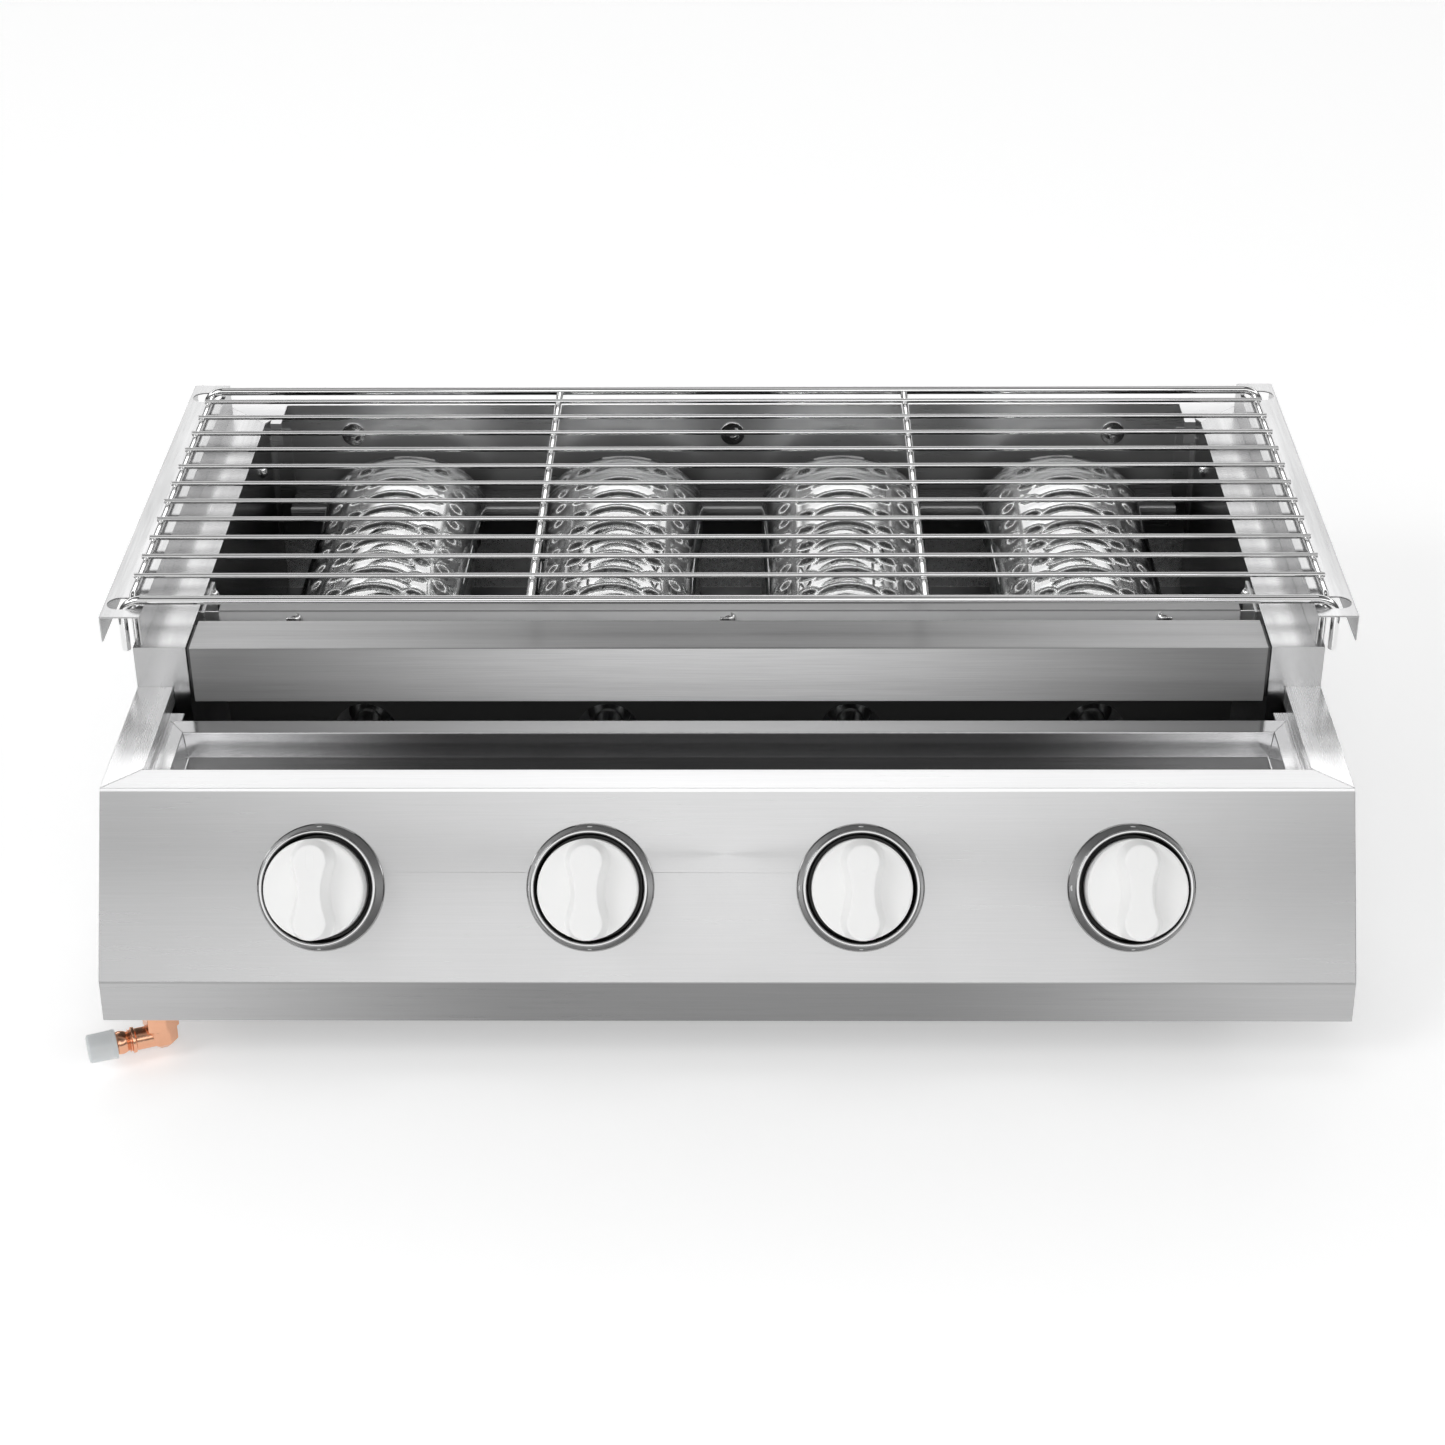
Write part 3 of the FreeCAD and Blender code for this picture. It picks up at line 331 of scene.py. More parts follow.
def black_rubber():
    finish = Finish("black_rubber", (0.025, 0.025, 0.026), 0.0, 0.7)
    grain = finish.noise((900.0, 900.0, 900.0), 3.0)
    dust = finish.noise((60.0, 60.0, 60.0), 4.0)
    finish.rough_from([(grain, 0.15), (dust, 0.12)])
    finish.color_from([(dust, 0.5)])
    finish.bump_from([(grain, 1.0)], 0.00005)
    return finish.mat


MATERIALS = {
    # painted light and shade: the panel's slope darker towards the sides, its lower skirt darker in the middle and
    # 1.1 times lighter, its top flange 1.78 times lighter
    "panel_steel": steel("panel_steel", 0.45, 0.30, X, metal=0.8, painted_light_fades=[
        [(X, 0.16, 0.38, 1.0, 0.84), (*FLANGE_FOLD, 0.0, 1.0), (*SKIRT_FOLD, 1.0, 0.0)],
        [(*SKIRT_FOLD, 0.0, 1.0), (X, 0.10, 0.35, 0.51, 1.0)], [(*SKIRT_FOLD, 1.1, 1.0)],
        [(*FLANGE_FOLD, 1.0, 1.78)]]),
    "side_steel": steel("side_steel", 0.88, 0.28, Y, metal=0.85),
    # painted shade: the side frame's inner wall darker towards the bottom, its top left plain
    "frame_steel": steel("frame_steel", 0.46, 0.24, Y, 900.0, 0.000002, 0.02, [
        [(*FRAME_SIDE, 0.0, 1.0), (Z, 0.10, 0.175, 0.45, 1.0)]]),
    # painted light and shade: the cross bar's front darker towards the ends, its top darker than the front and
    # darkest in the middle
    "bar_steel": steel("bar_steel", 0.97, 0.36, X, streaks=0.3, metal=0.05, painted_light_fades=[
        [(X, 0.02, 0.34, 1.0, 0.27), (*BAR_FOLD, 0.0, 1.0)],
        [(X, 0.02, 0.34, 0.22, 0.60), (*BAR_FOLD, 1.0, 0.0)]]),
    # painted shade: the burner box front darker towards the bottom, and its top flange darker
    "box_steel": steel("box_steel", 0.92, 0.32, X, 900.0, 0.000005, 0.04, [
        [(Z, 0.120, 0.160, 0.08, 1.0)], [(*BOX_FOLD, 1.0, 0.4)]], 0.15),
    # painted shade: the glass ledges darker below their top edge, and their rear part much darker
    "ledge_steel": steel("ledge_steel", 0.70, 0.28, X, 900.0, 0.000005, 0.04, [
        [(Z, 0.111, 0.1155, 0.35, 1.0)], [(Y, 0.2440, 0.2460, 1.0, 0.12)]], 0.6),
    # painted light and shade: the rear wall darker towards the bottom and lighter near the top
    "wall_steel": steel("wall_steel", 0.62, 0.30, X, 700.0, 0.000006, 0.05, [
        [(Z, 0.105, 0.172, 0.20, 1.25)]], 0.75),
    # painted shade: the very dark tone stands for the shade inside the base
    "pan_steel": steel("pan_steel", 0.13, 0.42, X, 500.0, 0.00001, 0.10),
    # painted shade: the drip tray darker towards the middle below its rim
    "tray_steel": steel("tray_steel", 0.74, 0.14, X, 900.0, 0.000003, 0.03, [
        [(X, 0.16, 0.32, 0.40, 1.0), (Z, 0.1443, 0.1446, 0.0, 1.0)]]),
    "burner_steel": steel("burner_steel", 0.30, 0.42, Y, 500.0, 0.00001, 0.15),
    "zinc": chrome("zinc", 0.72, 0.22),
    "wire_chrome": chrome("wire_chrome", 0.78, 0.05, 0.00001),
    "bezel_chrome": chrome("bezel_chrome", 0.34, 0.08),
    # partly the dark inner face of the bezel, partly painted shade of the recess round the knob
    "bezel_dark": chrome("bezel_dark", 0.05, 0.35),
    "print": ink("print", 0.82),
    "seam": ink("seam", 0.02),
    "glass": clear_glass(),
    "plastic": white_plastic(),
    "brass": rose_brass(),
    "cap": milky_plastic(),
    "rubber": black_rubber(),
}
NODE_MATERIALS = {
    "panel_steel": ["front_panel"],
    "side_steel": ["side_panel_left", "side_panel_right", "back_panel"],
    "frame_steel": ["side_frame_left", "side_frame_right", "grate_rail_left", "grate_rail_right"],
    "bar_steel": ["front_cross_bar"],
    "box_steel": ["burner_box_front"],
    "ledge_steel": ["glass_ledges"],
    "wall_steel": ["rear_wall", "corner_brackets"],
    "pan_steel": ["base_pan", "cross_bar_end_plates", "gas_manifold"],
    "tray_steel": ["drip_tray"],
    "burner_steel": ["mixer_tubes"] + ["burner_%d" % n for n in BURNERS],
    "zinc": ["wall_screws", "wall_nuts", "wall_washers", "foot_screws"]
            + ["valve_stem_%d" % n for n in BURNERS] + ["push_spring_%d" % n for n in BURNERS],
    "wire_chrome": ["grate_front_rod", "grate_rear_rod", "grate_side_rods", "grate_middle_rods",
                    "grate_cross_wires"],
    "bezel_chrome": ["bezel_%d" % n for n in BURNERS],
    "glass": ["glass_cover_%d" % n for n in BURNERS],
    "plastic": ["knob_%d" % n for n in BURNERS],
    "brass": ["gas_valves", "inlet_nut", "inlet_elbow"] + ["valve_plug_%d" % n for n in BURNERS],
    "cap": ["inlet_cap"],
    "rubber": ["rubber_feet"],
}


def dress_nodes():
    for key, names in NODE_MATERIALS.items():
        for name in names:
            mesh = NODES[name].data
            mesh.materials.clear()
            mesh.materials.append(MATERIALS[key])


def rounded_edges(names, width, segments=2):
    """Softens the sharp edges of sheet parts, as a fold or a deburred cut has them."""
    for name in names:
        obj = NODES[name]
        weld = obj.modifiers.new("weld", "WELD")
        weld.merge_threshold = 0.00001
        flats = obj.modifiers.new("flats", "DECIMATE")
        flats.decimate_type = "DISSOLVE"
        flats.angle_limit = math.radians(0.6)
        bevel = obj.modifiers.new("edges", "BEVEL")
        bevel.width = width
        bevel.segments = segments
        bevel.limit_method = "ANGLE"
        bevel.angle_limit = math.radians(35.0)
        bevel.harden_normals = True
        even = obj.modifiers.new("even", "WEIGHTED_NORMAL")
        even.keep_sharp = True


# ---- building pieces -----------------------------------------------------------------
def filleted(corners, steps=4):
    """Points of a line through (a, b, fillet) corners, each rounded by its fillet."""
    points = []
    for i, (a, b, fillet) in enumerate(corners):
        here = Vector((a, b))
        if fillet == 0.0:
            points.append(here)
            continue
        back = Vector(corners[i - 1][:2]) - here
        on = Vector(corners[i + 1][:2]) - here
        reach = min(fillet / math.tan(back.angle(on) / 2.0), 0.45 * back.length, 0.45 * on.length)
        back = back.normalized() * reach
        on = on.normalized() * reach
        points += [here + back * (1.0 - k / steps) ** 2 + on * (k / steps) ** 2 for k in range(steps + 1)]
    return points


def skin(rings, closed=True, looped=False, capped=False):
    """Points and faces through rings of equally many points."""
    count = len(rings[0])
    faces = []
    for i in range(len(rings) - (0 if looped else 1)):
        j = (i + 1) % len(rings)
        for k in range(count - (0 if closed else 1)):
            m = (k + 1) % count
            faces.append((i * count + k, i * count + m, j * count + m, j * count + k))
    if capped:
        faces.append(tuple(range(count)))
        faces.append(tuple((len(rings) - 1) * count + k for k in range(count)))
    return [point for ring in rings for point in ring], faces


def lathe(place, profile, count=96, flat=False):
    """Skin of revolution about the place's z axis, from (radius, height) points; flat leaves its ends open."""
    turn = 2.0 * math.pi / count
    rings = [[place @ Vector((r * math.cos(turn * (k + 0.5)), r * math.sin(turn * (k + 0.5)), h))
              for k in range(count)] for r, h in profile]
    return skin(rings, capped=not flat)


def tube(path, radius, count=10):
    """Round wire along a path of points."""
    rings = []
    side = Vector((0.31, 0.57, 0.76))
    for i, point in enumerate(path):
        along = (path[min(i + 1, len(path) - 1)] - path[max(i - 1, 0)]).normalized()
        side = (side - along * side.dot(along)).normalized()
        up = along.cross(side)
        rings.append([point + (side * math.cos(a) + up * math.sin(a)) * radius
                      for a in (2.0 * math.pi * k / count for k in range(count))])
    return skin(rings, capped=True)


def piece(name, shells, key, body, replaced=(), sharp=40.0):
    """One object of closed shells: its material, the body it rides and the nodes it stands for."""
    points = []
    faces = []
    for shell_points, shell_faces in shells:
        start = len(points)
        points += shell_points
        faces += [tuple(start + k for k in face) for face in shell_faces]
    mesh = bpy.data.meshes.new(name)
    mesh.from_pydata(points, [], faces)
    work = bmesh.new()
    work.from_mesh(mesh)
    bmesh.ops.remove_doubles(work, verts=work.verts, dist=1e-7)
    bmesh.ops.recalc_face_normals(work, faces=work.faces)
    work.to_mesh(mesh)
    work.free()
    mesh.shade_smooth()
    mesh.set_sharp_from_angle(angle=math.radians(sharp))
    mesh.materials.append(MATERIALS[key])
    obj = bpy.data.objects.new(name, mesh)
    bpy.context.scene.collection.objects.link(obj)
    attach(obj, body)
    if replaced:
        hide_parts(*replaced)
    return obj


def place_along(origin, axis, across):
    """Matrix from millimetres with z along the axis and x along the other direction."""
    z = Vector(axis).normalized()
    x = (Vector(across) - z * z.dot(Vector(across))).normalized()
    turn = Matrix((x, z.cross(x), z)).transposed().to_4x4()
    return Matrix.Translation(origin) @ turn @ Matrix.Scale(MM, 4)


def loose_boxes(name):
    """Lowest and highest corner of each separate solid in one CAD node, always in the same order."""
    work = bmesh.new()
    work.from_mesh(NODES[name].data)
    bmesh.ops.remove_doubles(work, verts=work.verts, dist=1e-6)
    left = set(work.verts)
    boxes = []
    while left:
        group = [left.pop()]
        for vert in group:
            near = [edge.other_vert(vert) for edge in vert.link_edges]
            fresh = [other for other in near if other in left]
            left.difference_update(fresh)
            group += fresh
        spans = [[vert.co[axis] for vert in group] for axis in range(3)]
        boxes.append((Vector([min(span) for span in spans]), Vector([max(span) for span in spans])))
    work.free()
    return sorted(boxes, key=lambda box: tuple(box[0]))


def knob_place(n):
    joint = JOINTS["knob_turn_%d" % n]
    return place_along(Vector(joint["pos_m"]), joint["axis"], (1.0, 0.0, 0.0))


# ---- burner covers ---------------------------------------------------------------------
COVER_A = 57.0             # half-width and rise of the arch, and its straight foot, in mm
COVER_B = 36.0
COVER_FOOT = 2.5
COVER_T = 4.0
COVER_RELIEF = 2.4         # height of the pressed pattern
RIB_FIRST = 18.0
RIB_PITCH = 22.8
RIB_COUNT = 11
ARC_STEPS = 104
ROW_STEP = 1.5
END_LEVELS = 10            # rings of faces that fill each end
END_ROUND = 6.0            # length over which an end is rounded and the pattern fades out
END_PINCH = 0.075


def bump(distance, half):
    """Smooth bump of height 1, gone at that distance."""
    near = max(0.0, 1.0 - (distance / half) ** 2)
    return near * near * (3.0 - 2.0 * near)


def pattern(x, d):
    """Height of the pressed pattern, from 0 to 1, at x and at a distance from the cover's front."""
    near = min(max(round((d - RIB_FIRST) / RIB_PITCH), 0), RIB_COUNT - 1)
    off = d - RIB_FIRST - RIB_PITCH * near
    side = abs(x)
    crescent = 0.70 * bump(off + 0.014 * x * x - 3.0, 4.8) * bump(max(side - 10.0, 0.0), 14.0)
    eye = 1.0 * bump(math.hypot((side - 28.0) / 7.5, (off - 1.0) / 5.6), 1.0)
    outer = 1.0 * bump(math.hypot((side - 44.0) / 6.5, (off - 3.0) / 7.5), 1.0)
    swell = 0.25 * bump(side - 36.0, 5.0)
    return max(crescent, eye, outer, swell)


def cover_ring(middle, front, base, d, lift, inset, shrink):
    """One ring across a cover: foot, arch and foot, at a distance d from its front end."""
    ring = []
    for i in range(ARC_STEPS + 1):
        a = math.pi * (1.0 - i / ARC_STEPS)
        level = COVER_RELIEF * (1.0 - lift * pattern(COVER_A * math.cos(a), d)) if lift else 0.0
        low = inset + level * math.sin(a) ** 0.5
        x = (COVER_A - low) * math.cos(a) * shrink
        z = (COVER_FOOT if 0 < i < ARC_STEPS else 0.0) + (COVER_B - low) * math.sin(a) * shrink
        ring.append(Vector((middle + x * MM, front + d * MM, base + z * MM)))
    return ring


def glass_covers():
    for n in BURNERS:
        low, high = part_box("glass_cover_%d" % n)
        middle = (low.x + high.x) / 2.0
        length = (high.y - low.y) / MM
        rows = int(length / ROW_STEP)
        outer = []
        for i in range(rows + 1):
            d = length * i / rows
            end = min(d, length - d)
            outer.append(cover_ring(middle, low.y, low.z, d, bump(max(END_ROUND - end, 0.0), END_ROUND), 0.0,
                                    1.0 - END_PINCH * max(0.0, 1.0 - end / END_ROUND) ** 2.2))
        inner = []
        for i in range(rows + 1):
            d = COVER_T + (length - 2.0 * COVER_T) * i / rows
            inner.append(cover_ring(middle, low.y, low.z, d, 0.0, COVER_RELIEF + COVER_T, 1.0))
        count = ARC_STEPS + 1
        points, faces = skin(outer, closed=False)
        inner_points, inner_faces = skin(inner, closed=False)
        start = len(points)
        points += inner_points
        faces += [tuple(start + k for k in face) for face in inner_faces]
        for k in (0, rows):
            for ring, rings_at in ((outer, 0), (inner, start)):
                row = rings_at + k * count
                hub = len(points)
                middle_point = (ring[k][0] + ring[k][-1]) / 2.0
                points.append(middle_point)
                last_row = [row + i for i in range(count)]
                for step in range(1, END_LEVELS):
                    share = 1.0 - step / END_LEVELS
                    fresh = []
                    for i in range(count):
                        fresh.append(len(points))
                        points.append(middle_point.lerp(ring[k][i], share))
                    faces += [(last_row[i], last_row[i + 1], fresh[i + 1], fresh[i]) for i in range(count - 1)]
                    last_row = fresh
                faces += [(last_row[i], last_row[i + 1], hub) for i in range(count - 1)]
        obj = piece("pressed_cover_%d" % n, [(points, faces)], "glass", "glass_%d" % n,
                    ["glass_cover_%d" % n])
        bridge = obj.modifiers.new("rim", "WELD")
        bridge.merge_threshold = 0.000001


# ---- knobs and bezels ----------------------------------------------------------------------
GRIP_SPAN = 17.2           # dog-bone grip: half the distance of its lobes, lobe and waist radius
GRIP_LOBE = 9.6
GRIP_WAIST = 6.6
GRIP_MID = -1.2
GRIP_DRAFT = 2.6
GRIP_TOP = 44.0
GRIP_FALL = 0.035          # how much the pointer end of the top drops, to the millimetre
KNOB_R = 28.4
KNOB_BASE = 7.0
KNOB_FACE = 30.0
KNOB_WALL = 2.4
KNOB_DEEP = 19.0           # depth of the hollow behind the face
KNOB_EDGE = 1.5            # rounding of the face's edge, of the grip's root and of its top
GRIP_ROOT = 1.6
GRIP_EDGE = 1.2
ROUND_STEPS = 5
POINTER_R = 2.15           # groove of the pointer: half its width, and its three heights up the grip
POINTER_FOOT = 12.9
POINTER_MID = 18.0
POINTER_TOP = 22.4
GROOVE_R = 0.22
GROOVE_DROP = 0.12
LOBE_STEPS = 40
HOLLOW_STEPS = 28


def grip_outline(grow):
    """Dog-bone outline, anticlockwise from the right end of its upper lobe."""
    lobe = GRIP_LOBE + grow
    across = (GRIP_SPAN ** 2 + GRIP_WAIST ** 2 - GRIP_LOBE ** 2) / (2.0 * (GRIP_LOBE - GRIP_WAIST)) + GRIP_WAIST
    hollow = across - GRIP_WAIST - grow
    lean = math.atan2(GRIP_SPAN, across)
    points = []
    for sign in (1.0, -1.0):
        for k in range(LOBE_STEPS):
            a = -lean + (math.pi + 2.0 * lean) * k / LOBE_STEPS
            points.append(Vector((sign * lobe * math.cos(a), sign * (GRIP_SPAN + lobe * math.sin(a)))))
        for k in range(HOLLOW_STEPS):
            a = lean * (1.0 - 2.0 * k / HOLLOW_STEPS)
            points.append(Vector((sign * (-across + hollow * math.cos(a)), sign * hollow * math.sin(a))))
    return [point + Vector((0.0, GRIP_MID)) for point in points]


def knob(n):
    place = knob_place(n)
    root = grip_outline(GRIP_DRAFT + GRIP_ROOT)
    rim = [min(KNOB_R, max(KNOB_R - KNOB_EDGE, point.length)) for point in root]
    around = [point.normalized() for point in root]

    def circle(radii, height):
        return [place @ Vector((p.x * r, p.y * r, height)) for p, r in zip(around, radii)]

    def outline(grow, height, fall=0.0):
        ring = []
        for p in grip_outline(grow):
            p = p * min(1.0, KNOB_R / p.length)
            ring.append(place @ Vector((p.x, p.y, height - fall * max(0.0, p.y))))
        return ring

    rings = [circle([KNOB_R - KNOB_WALL] * len(rim), KNOB_BASE + KNOB_DEEP),
             circle([KNOB_R - KNOB_WALL] * len(rim), KNOB_BASE),
             circle([KNOB_R - 0.5] * len(rim), KNOB_BASE), circle([KNOB_R] * len(rim), KNOB_BASE + 0.5)]
    for k in range(ROUND_STEPS + 1):
        a = math.pi / 2.0 * k / ROUND_STEPS
        radii = [r + (KNOB_R - r) * math.cos(a) for r in rim]
        rings.append(circle(radii, KNOB_FACE - KNOB_EDGE * (1.0 - math.sin(a))))
    for k in range(ROUND_STEPS + 1):
        a = math.pi / 2.0 * k / ROUND_STEPS
        rings.append(outline(GRIP_DRAFT + GRIP_ROOT * (1.0 - math.sin(a)),
                             KNOB_FACE + GRIP_ROOT * (1.0 - math.cos(a))))
    wall = GRIP_TOP - KNOB_FACE - GRIP_ROOT - GRIP_EDGE
    for k in range(1, ROUND_STEPS + 1):
        share = k / ROUND_STEPS
        rings.append(outline(GRIP_DRAFT * (1.0 - share), KNOB_FACE + GRIP_ROOT + wall * share, GRIP_FALL * share))
    for k in range(1, ROUND_STEPS + 1):
        a = math.pi / 2.0 * k / ROUND_STEPS
        rings.append(outline(-GRIP_EDGE * (1.0 - math.cos(a)), GRIP_TOP - GRIP_EDGE * (1.0 - math.sin(a)),
                             GRIP_FALL))
    for grow in (-2.4, -4.0, -5.4, -6.5):
        rings.append(outline(grow, GRIP_TOP, GRIP_FALL))
    mark = []
    for k in range(25):
        a = math.pi * (1.0 + k / 24)
        mark.append((POINTER_R * math.cos(a), POINTER_FOOT + POINTER_R * math.sin(a)))
    mark = ([(-POINTER_R, POINTER_TOP), (-POINTER_R, POINTER_MID)] + mark
            + [(POINTER_R, POINTER_MID), (POINTER_R, POINTER_TOP)])
    groove = tube([place @ Vector((x, y, GRIP_TOP - GROOVE_DROP - GRIP_FALL * y)) for x, y in mark],
                  GROOVE_R * MM, 8)
    hub = lathe(place, filleted([(7.0, 26.5, 0.0), (7.0, 10.0, 0.4), (3.0, 10.0, 0.3), (3.0, 24.0, 0.0)]), 48)
    piece("knob_grip_%d" % n, [skin(rings, capped=True), hub, groove], "plastic", "knob_body_%d" % n,
          ["knob_%d" % n])


BEZEL_STEPS = 144
BEZEL_R = 36.7             # foot of the cone, its height and how much it narrows on the way
BEZEL_H = 16.0
BEZEL_NARROWS = 3.5
MARK_H = 8.0               # height of the printed marks up the cone
MARK_LIFT = 0.05
OFF_CLOCK, HIGH_CLOCK, LOW_CLOCK = 90.0, 180.0, 270.0


def cone_point(place, clock, across, up):
    """Just above the bezel's cone, at an angle, with distances round it and up it."""
    height = MARK_H + up
    radius = BEZEL_R - BEZEL_NARROWS * height / BEZEL_H + MARK_LIFT
    a = math.radians(clock) + across / radius
    return place @ Vector((radius * math.cos(a), radius * math.sin(a), height))


def flame_outline(size):
    """A drop with a bent tip, as (across, up) points."""
    points = []
    for k in range(36):
        a = 2.0 * math.pi * k / 36
        upper = max(0.0, math.sin(a))
        across = size * 0.72 * math.cos(a) * (1.0 - 0.25 * upper) + 0.18 * size * upper ** 4
        points.append((across, size * (1.0 + 0.9 * upper ** 3) * math.sin(a)))
    return points


def mark_shell(place, clock, outline):
    """Thin raised print on the cone, closed at its back."""
    print_ring = [cone_point(place, clock, across, up) for across, up in outline]
    axis = place @ Vector((0.0, 0.0, MARK_H))
    back_ring = [point + (axis - point).normalized() * 0.1 * MM for point in print_ring]
    return skin([back_ring, print_ring], capped=True)


def closed_lathe(place, profile):
    """Solid of revolution with a hole along its axis, from a profile whose last point meets its first."""
    points, faces = lathe(place, profile, BEZEL_STEPS, flat=True)
    last = (len(profile) - 1) * BEZEL_STEPS
    faces += [(last + k, last + (k + 1) % BEZEL_STEPS, (k + 1) % BEZEL_STEPS, k) for k in range(BEZEL_STEPS)]
    return points, faces


def bezel(n):
    place = knob_place(n)
    shell = filleted([(8.4, 1.9, 0.0), (8.4, 0.0, 0.0), (BEZEL_R, 0.0, 0.25), (BEZEL_R, 1.3, 0.4),
                      (36.1, 1.7, 0.3), (33.75, 14.6, 0.4), (33.2, BEZEL_H, 0.7), (31.5, BEZEL_H, 0.6), (31.1, 14.4, 0.0),
                      (31.1, 1.9, 0.0)], 5)
    piece("bezel_ring_%d" % n, [closed_lathe(place, shell)], "bezel_chrome", "casing",
          ["bezel_%d" % n])
    # the liner's near-black colour is partly the bezel's dark inner face and partly painted shade of the recess
    # round the knob
    liner = filleted([(31.05, 2.0, 0.0), (31.05, 14.5, 0.0), (30.8, 14.2, 0.0), (30.8, 3.2, 0.5), (30.0, 2.6, 0.4),
                      (8.6, 2.6, 0.0), (8.6, 2.0, 0.0)])
    piece("bezel_liner_%d" % n, [closed_lathe(place, liner)], "bezel_dark", "casing")
    dot = [(1.5 * math.cos(math.pi * k / 12), 1.5 * math.sin(math.pi * k / 12)) for k in range(24)]
    marks = [mark_shell(place, OFF_CLOCK, dot), mark_shell(place, HIGH_CLOCK, flame_outline(2.3)),
             mark_shell(place, LOW_CLOCK, flame_outline(1.6))]
    piece("bezel_marks_%d" % n, marks, "print", "casing")


# ---- gas inlet -------------------------------------------------------------------------------
ARM_BALL = 24.6            # places along the inlet's arm, in mm from the elbow's middle
ARM_END = 40.6
CAP_START = 27.1
CAP_END = 43.6


def inlet_arm():
    """Place at the elbow's middle, with z along its arm, in mm."""
    low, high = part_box("inlet_nut")
    cap_low, cap_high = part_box("inlet_cap")
    origin = Vector(((low.x + high.x) / 2.0, (low.y + high.y) / 2.0, (cap_low.z + cap_high.z) / 2.0))
    return place_along(origin, JOINTS["cap_pull"]["axis"], (0.0, 0.0, 1.0))


def inlet():
    arm = inlet_arm()
    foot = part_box("inlet_elbow")[0].z
    upright = place_along(Vector((arm.translation.x, arm.translation.y, foot)), (0.0, 0.0, 1.0),
                          JOINTS["cap_pull"]["axis"])
    top = (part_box("inlet_nut")[0].z - foot) / MM
    body = lathe(upright, [(4.2, 0.0), (5.2, 0.5), (9.3, 4.6), (9.3, top)], 8)
    ball = [(7.0 * math.cos(a), ARM_BALL + 7.0 * math.sin(a))
            for a in (math.radians(-38 + 7 * k) for k in range(12))]
    outer = filleted([(6.6, 0.0, 0.0), (6.6, 15.6, 0.3), (7.7, 16.2, 0.3), (7.7, 18.0, 0.4), (6.3, 18.6, 0.2),
                      (6.3, 19.2, 0.2), (7.2, 19.6, 0.0)])
    outer += [Vector(point) for point in ball]
    outer += filleted([(5.2, ARM_BALL + 5.2, 0.0), (4.7, ARM_BALL + 6.0, 0.3), (5.2, ARM_BALL + 7.0, 0.3),
                       (5.2, ARM_END, 0.4), (3.2, ARM_END, 0.2), (3.2, 10.0, 0.0)])
    piece("inlet_fitting", [body, lathe(arm, outer, 64)], "brass", "casing", ["inlet_elbow"], 25.0)


def cap():
    place = inlet_arm()
    profile = filleted([(7.3, CAP_START + 0.1, 0.0), (8.8, CAP_START, 0.4), (8.8, CAP_START + 2.1, 0.3),
                        (8.5, CAP_START + 2.5, 0.3), (8.45, CAP_END - 1.0, 0.8), (7.4, CAP_END, 0.5),
                        (0.6, CAP_END, 0.0), (0.6, CAP_END - 2.0, 0.0), (5.6, CAP_END - 2.0, 0.6),
                        (5.6, CAP_START + 2.5, 0.3), (7.3, CAP_START + 0.1, 0.0)])
    count = 120
    rings = []
    for r, h in profile:
        deep = 0.22 if r > 8.2 and CAP_START + 2.7 < h < CAP_END - 1.4 else 0.0
        ring = []
        for k in range(count):
            a = 2.0 * math.pi * k / count
            reach = r - deep * (k % 4 > 1)
            ring.append(place @ Vector((reach * math.cos(a), reach * math.sin(a), h)))
        rings.append(ring)
    piece("inlet_cover", [skin(rings, capped=True)], "cap", "cap", ["inlet_cap"], 50.0)


# ---- screws, springs and welds ---------------------------------------------------------------
RECESS_HALF = 0.55         # Phillips recess: half-width, reach and depth, in mm
RECESS_REACH = 2.5
RECESS_DEEP = 1.3
HEAD_R = 5.23              # dome head
HEAD_H = 3.6
SHANK_R = 2.5
THREAD_PITCH = 0.8


def screw(place, length, radius, recessed):
    """Screw with its head's seat at the origin, the dome towards +z and the shank towards -z."""
    edges = [0.0, RECESS_HALF, RECESS_HALF + 0.12, 1.2, RECESS_REACH - 0.3, RECESS_REACH, 3.2, 3.9, 4.6, HEAD_R]
    lines = [-edge / HEAD_R for edge in edges[:0:-1]] + [edge / HEAD_R for edge in edges]
    rows = []
    for v in lines:
        row = []
        for u in lines:
            x = u * math.sqrt(1.0 - v * v / 2.0) * HEAD_R
            y = v * math.sqrt(1.0 - u * u / 2.0) * HEAD_R
            share = min(1.0, math.hypot(x, y) / HEAD_R)
            h = HEAD_H * (1.0 - share ** 2.6) ** 0.55 if share < 1.0 else 0.0
            near, far = sorted((abs(x), abs(y)))
            if recessed and near <= RECESS_HALF + 0.01 and far <= RECESS_REACH:
                h -= RECESS_DEEP * (1.0 - 0.6 * far / RECESS_REACH)
            row.append(place @ Vector((x, y, h)))
        rows.append(row)
    dome_points, dome_faces = skin(rows, closed=False)
    rim = ([rows[0][k] for k in range(len(lines))] + [row[-1] for row in rows[1:]]
           + rows[-1][-2::-1] + [row[0] for row in rows[-2:0:-1]])
    start = len(dome_points)
    dome_points += rim
    dome_faces.append(tuple(range(start, start + len(rim))))
    threads = [(radius, 0.0), (radius, -1.0)]
    turns = int((length - 1.6) / THREAD_PITCH)
    for k in range(turns):
        threads += [(radius, -1.2 - THREAD_PITCH * k), (radius - 0.35, -1.6 - THREAD_PITCH * k)]
    threads += [(radius - 0.2, -length + 0.3), (radius - 0.6, -length)]
    return [(dome_points, dome_faces), lathe(place, threads, 24)]


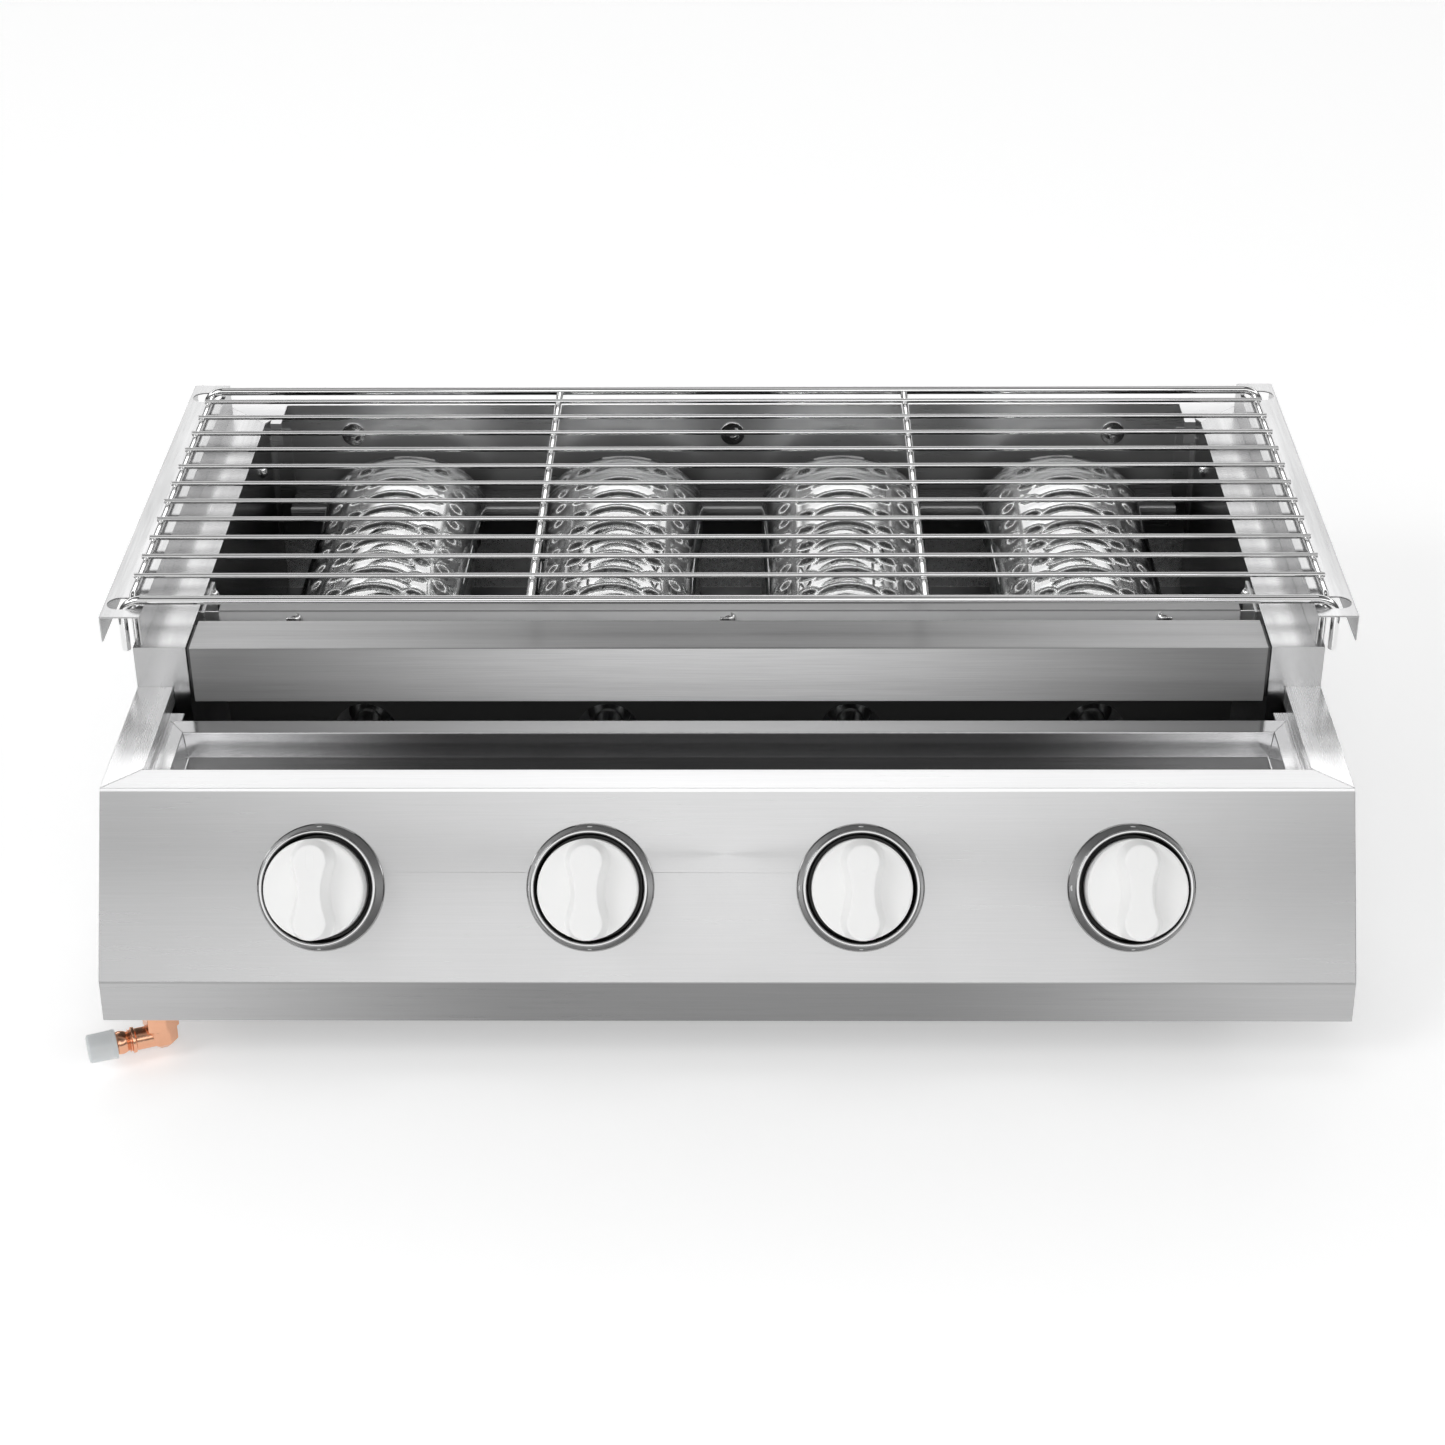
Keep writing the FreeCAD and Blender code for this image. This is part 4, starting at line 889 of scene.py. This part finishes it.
def wall_screws():
    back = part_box("rear_wall")[1].y
    shells = []
    for low, high in loose_boxes("wall_screws"):
        size = high - low
        mid = (low + high) / 2.0
        if size.x > size.y:
            inward = -1.0 if mid.x > 0.0 else 1.0
            tip = high.x if inward > 0.0 else low.x
            seat = Vector((tip - inward * HEAD_H * MM, mid.y, mid.z))
            place = place_along(seat, (inward, 0.0, 0.0), (0.0, 0.0, 1.0))
            length = size.x / MM - HEAD_H
            recessed = False
        else:
            recessed = mid.y > back - 0.05
            seat = Vector((mid.x, low.y + HEAD_H * MM, mid.z))
            place = place_along(seat, (0.0, -1.0, 0.0), (0.9, 0.0, 0.4))
            length = size.y / MM - HEAD_H
        shells += screw(place, length, SHANK_R, recessed)
    piece("frame_screws", shells, "zinc", "casing", ["wall_screws"], 30.0)


COIL_TURNS = 7             # push spring: turns, steps to the turn, radius, foot, length and wire
COIL_STEPS = 24
COIL_R = 4.4
COIL_FOOT = -13.2
COIL_LENGTH = 8.1
COIL_WIRE_R = 0.5
COIL_CLOSED = 0.7          # turns that lie flat at each end


def spring(n):
    """The push spring's coils, closed at both ends."""
    place = knob_place(n)
    rising = COIL_TURNS - 2.0 * COIL_CLOSED
    path = []
    for k in range(COIL_TURNS * COIL_STEPS + 1):
        turn = k / COIL_STEPS
        rise = min(max(turn - COIL_CLOSED, 0.0), rising) / rising
        a = 2.0 * math.pi * turn
        path.append(place @ Vector((COIL_R * math.cos(a), COIL_R * math.sin(a), COIL_FOOT + COIL_LENGTH * rise)))
    piece("push_coil_%d" % n, [tube(path, COIL_WIRE_R * MM, 10)], "zinc", "valve_%d" % n,
          ["push_spring_%d" % n])


def welds():
    """Small beads where the grate's wires cross its rods."""
    shells = []
    wires = loose_boxes("grate_cross_wires")
    rods = loose_boxes("grate_side_rods") + loose_boxes("grate_middle_rods")
    for low, high in wires:
        depth = (low.y + high.y) / 2.0
        for rod_low, rod_high in rods:
            x = (rod_low.x + rod_high.x) / 2.0
            half = 2.0 if abs(x) > 0.2 else 2.5
            top = rod_high.z / MM
            place = place_along(Vector((x, depth, 0.0)), (0.0, 0.0, 1.0), (1.0, 0.0, 0.0))
            bead = []
            for k in range(9):
                a = math.pi * k / 8
                bead.append((max(0.03, (half * 0.92) * math.sin(a)), top - 0.2 + 0.9 * math.cos(a)))
            shells.append(lathe(place, bead, 16))
    piece("grate_welds", shells, "wire_chrome", "grate", sharp=60.0)


TRAY_RIM = 10.0
TRAY_REAR_RIM = 14.0
SEAM_INSET = 0.3


def tray_seams():
    """Mitred, welded corners of the tray's rim."""
    low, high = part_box("drip_tray")
    shells = []
    for sx in (-1.0, 1.0):
        for outer_y, inner_y in ((low.y, low.y + TRAY_RIM * MM), (high.y, high.y - TRAY_REAR_RIM * MM)):
            inset = math.copysign(SEAM_INSET * MM, inner_y - outer_y)
            start = Vector((sx * (high.x - SEAM_INSET * MM), outer_y + inset, high.z))
            end = Vector((sx * (high.x - TRAY_RIM * MM), inner_y, high.z))
            along = (end - start).normalized() * 0.11 * MM
            across = Vector((-along.y, along.x, 0.0))
            rise = Vector((0.0, 0.0, 0.02 * MM))
            loop = [start + across, end + across, end - across, start - across]
            shells.append(skin([[point - rise for point in loop], [point + rise for point in loop]], capped=True))
    piece("tray_corner_seams", shells, "seam", "tray")


surroundings()
floor()
camera()
for lamp in SOFTBOXES:
    softbox(*lamp)
dress_nodes()
rounded_edges(["front_panel", "back_panel", "base_pan", "side_panel_left", "side_panel_right",
               "side_frame_left", "side_frame_right", "grate_rail_left", "grate_rail_right",
               "front_cross_bar", "rear_wall", "burner_box_front", "glass_ledges", "corner_brackets",
               "cross_bar_end_plates"], 0.00045)
rounded_edges(["drip_tray"], 0.0006, 3)
rounded_edges(["grate_front_rod", "grate_rear_rod", "grate_side_rods", "grate_middle_rods",
               "grate_cross_wires"], 0.0005, 3)
rounded_edges(["wall_washers", "wall_nuts", "inlet_nut", "foot_screws", "rubber_feet"], 0.0003)
glass_covers()
for number in BURNERS:
    knob(number)
    bezel(number)
    spring(number)
inlet()
cap()
wall_screws()
welds()
tray_seams()

bpy.context.scene.view_settings.view_transform = "Standard"
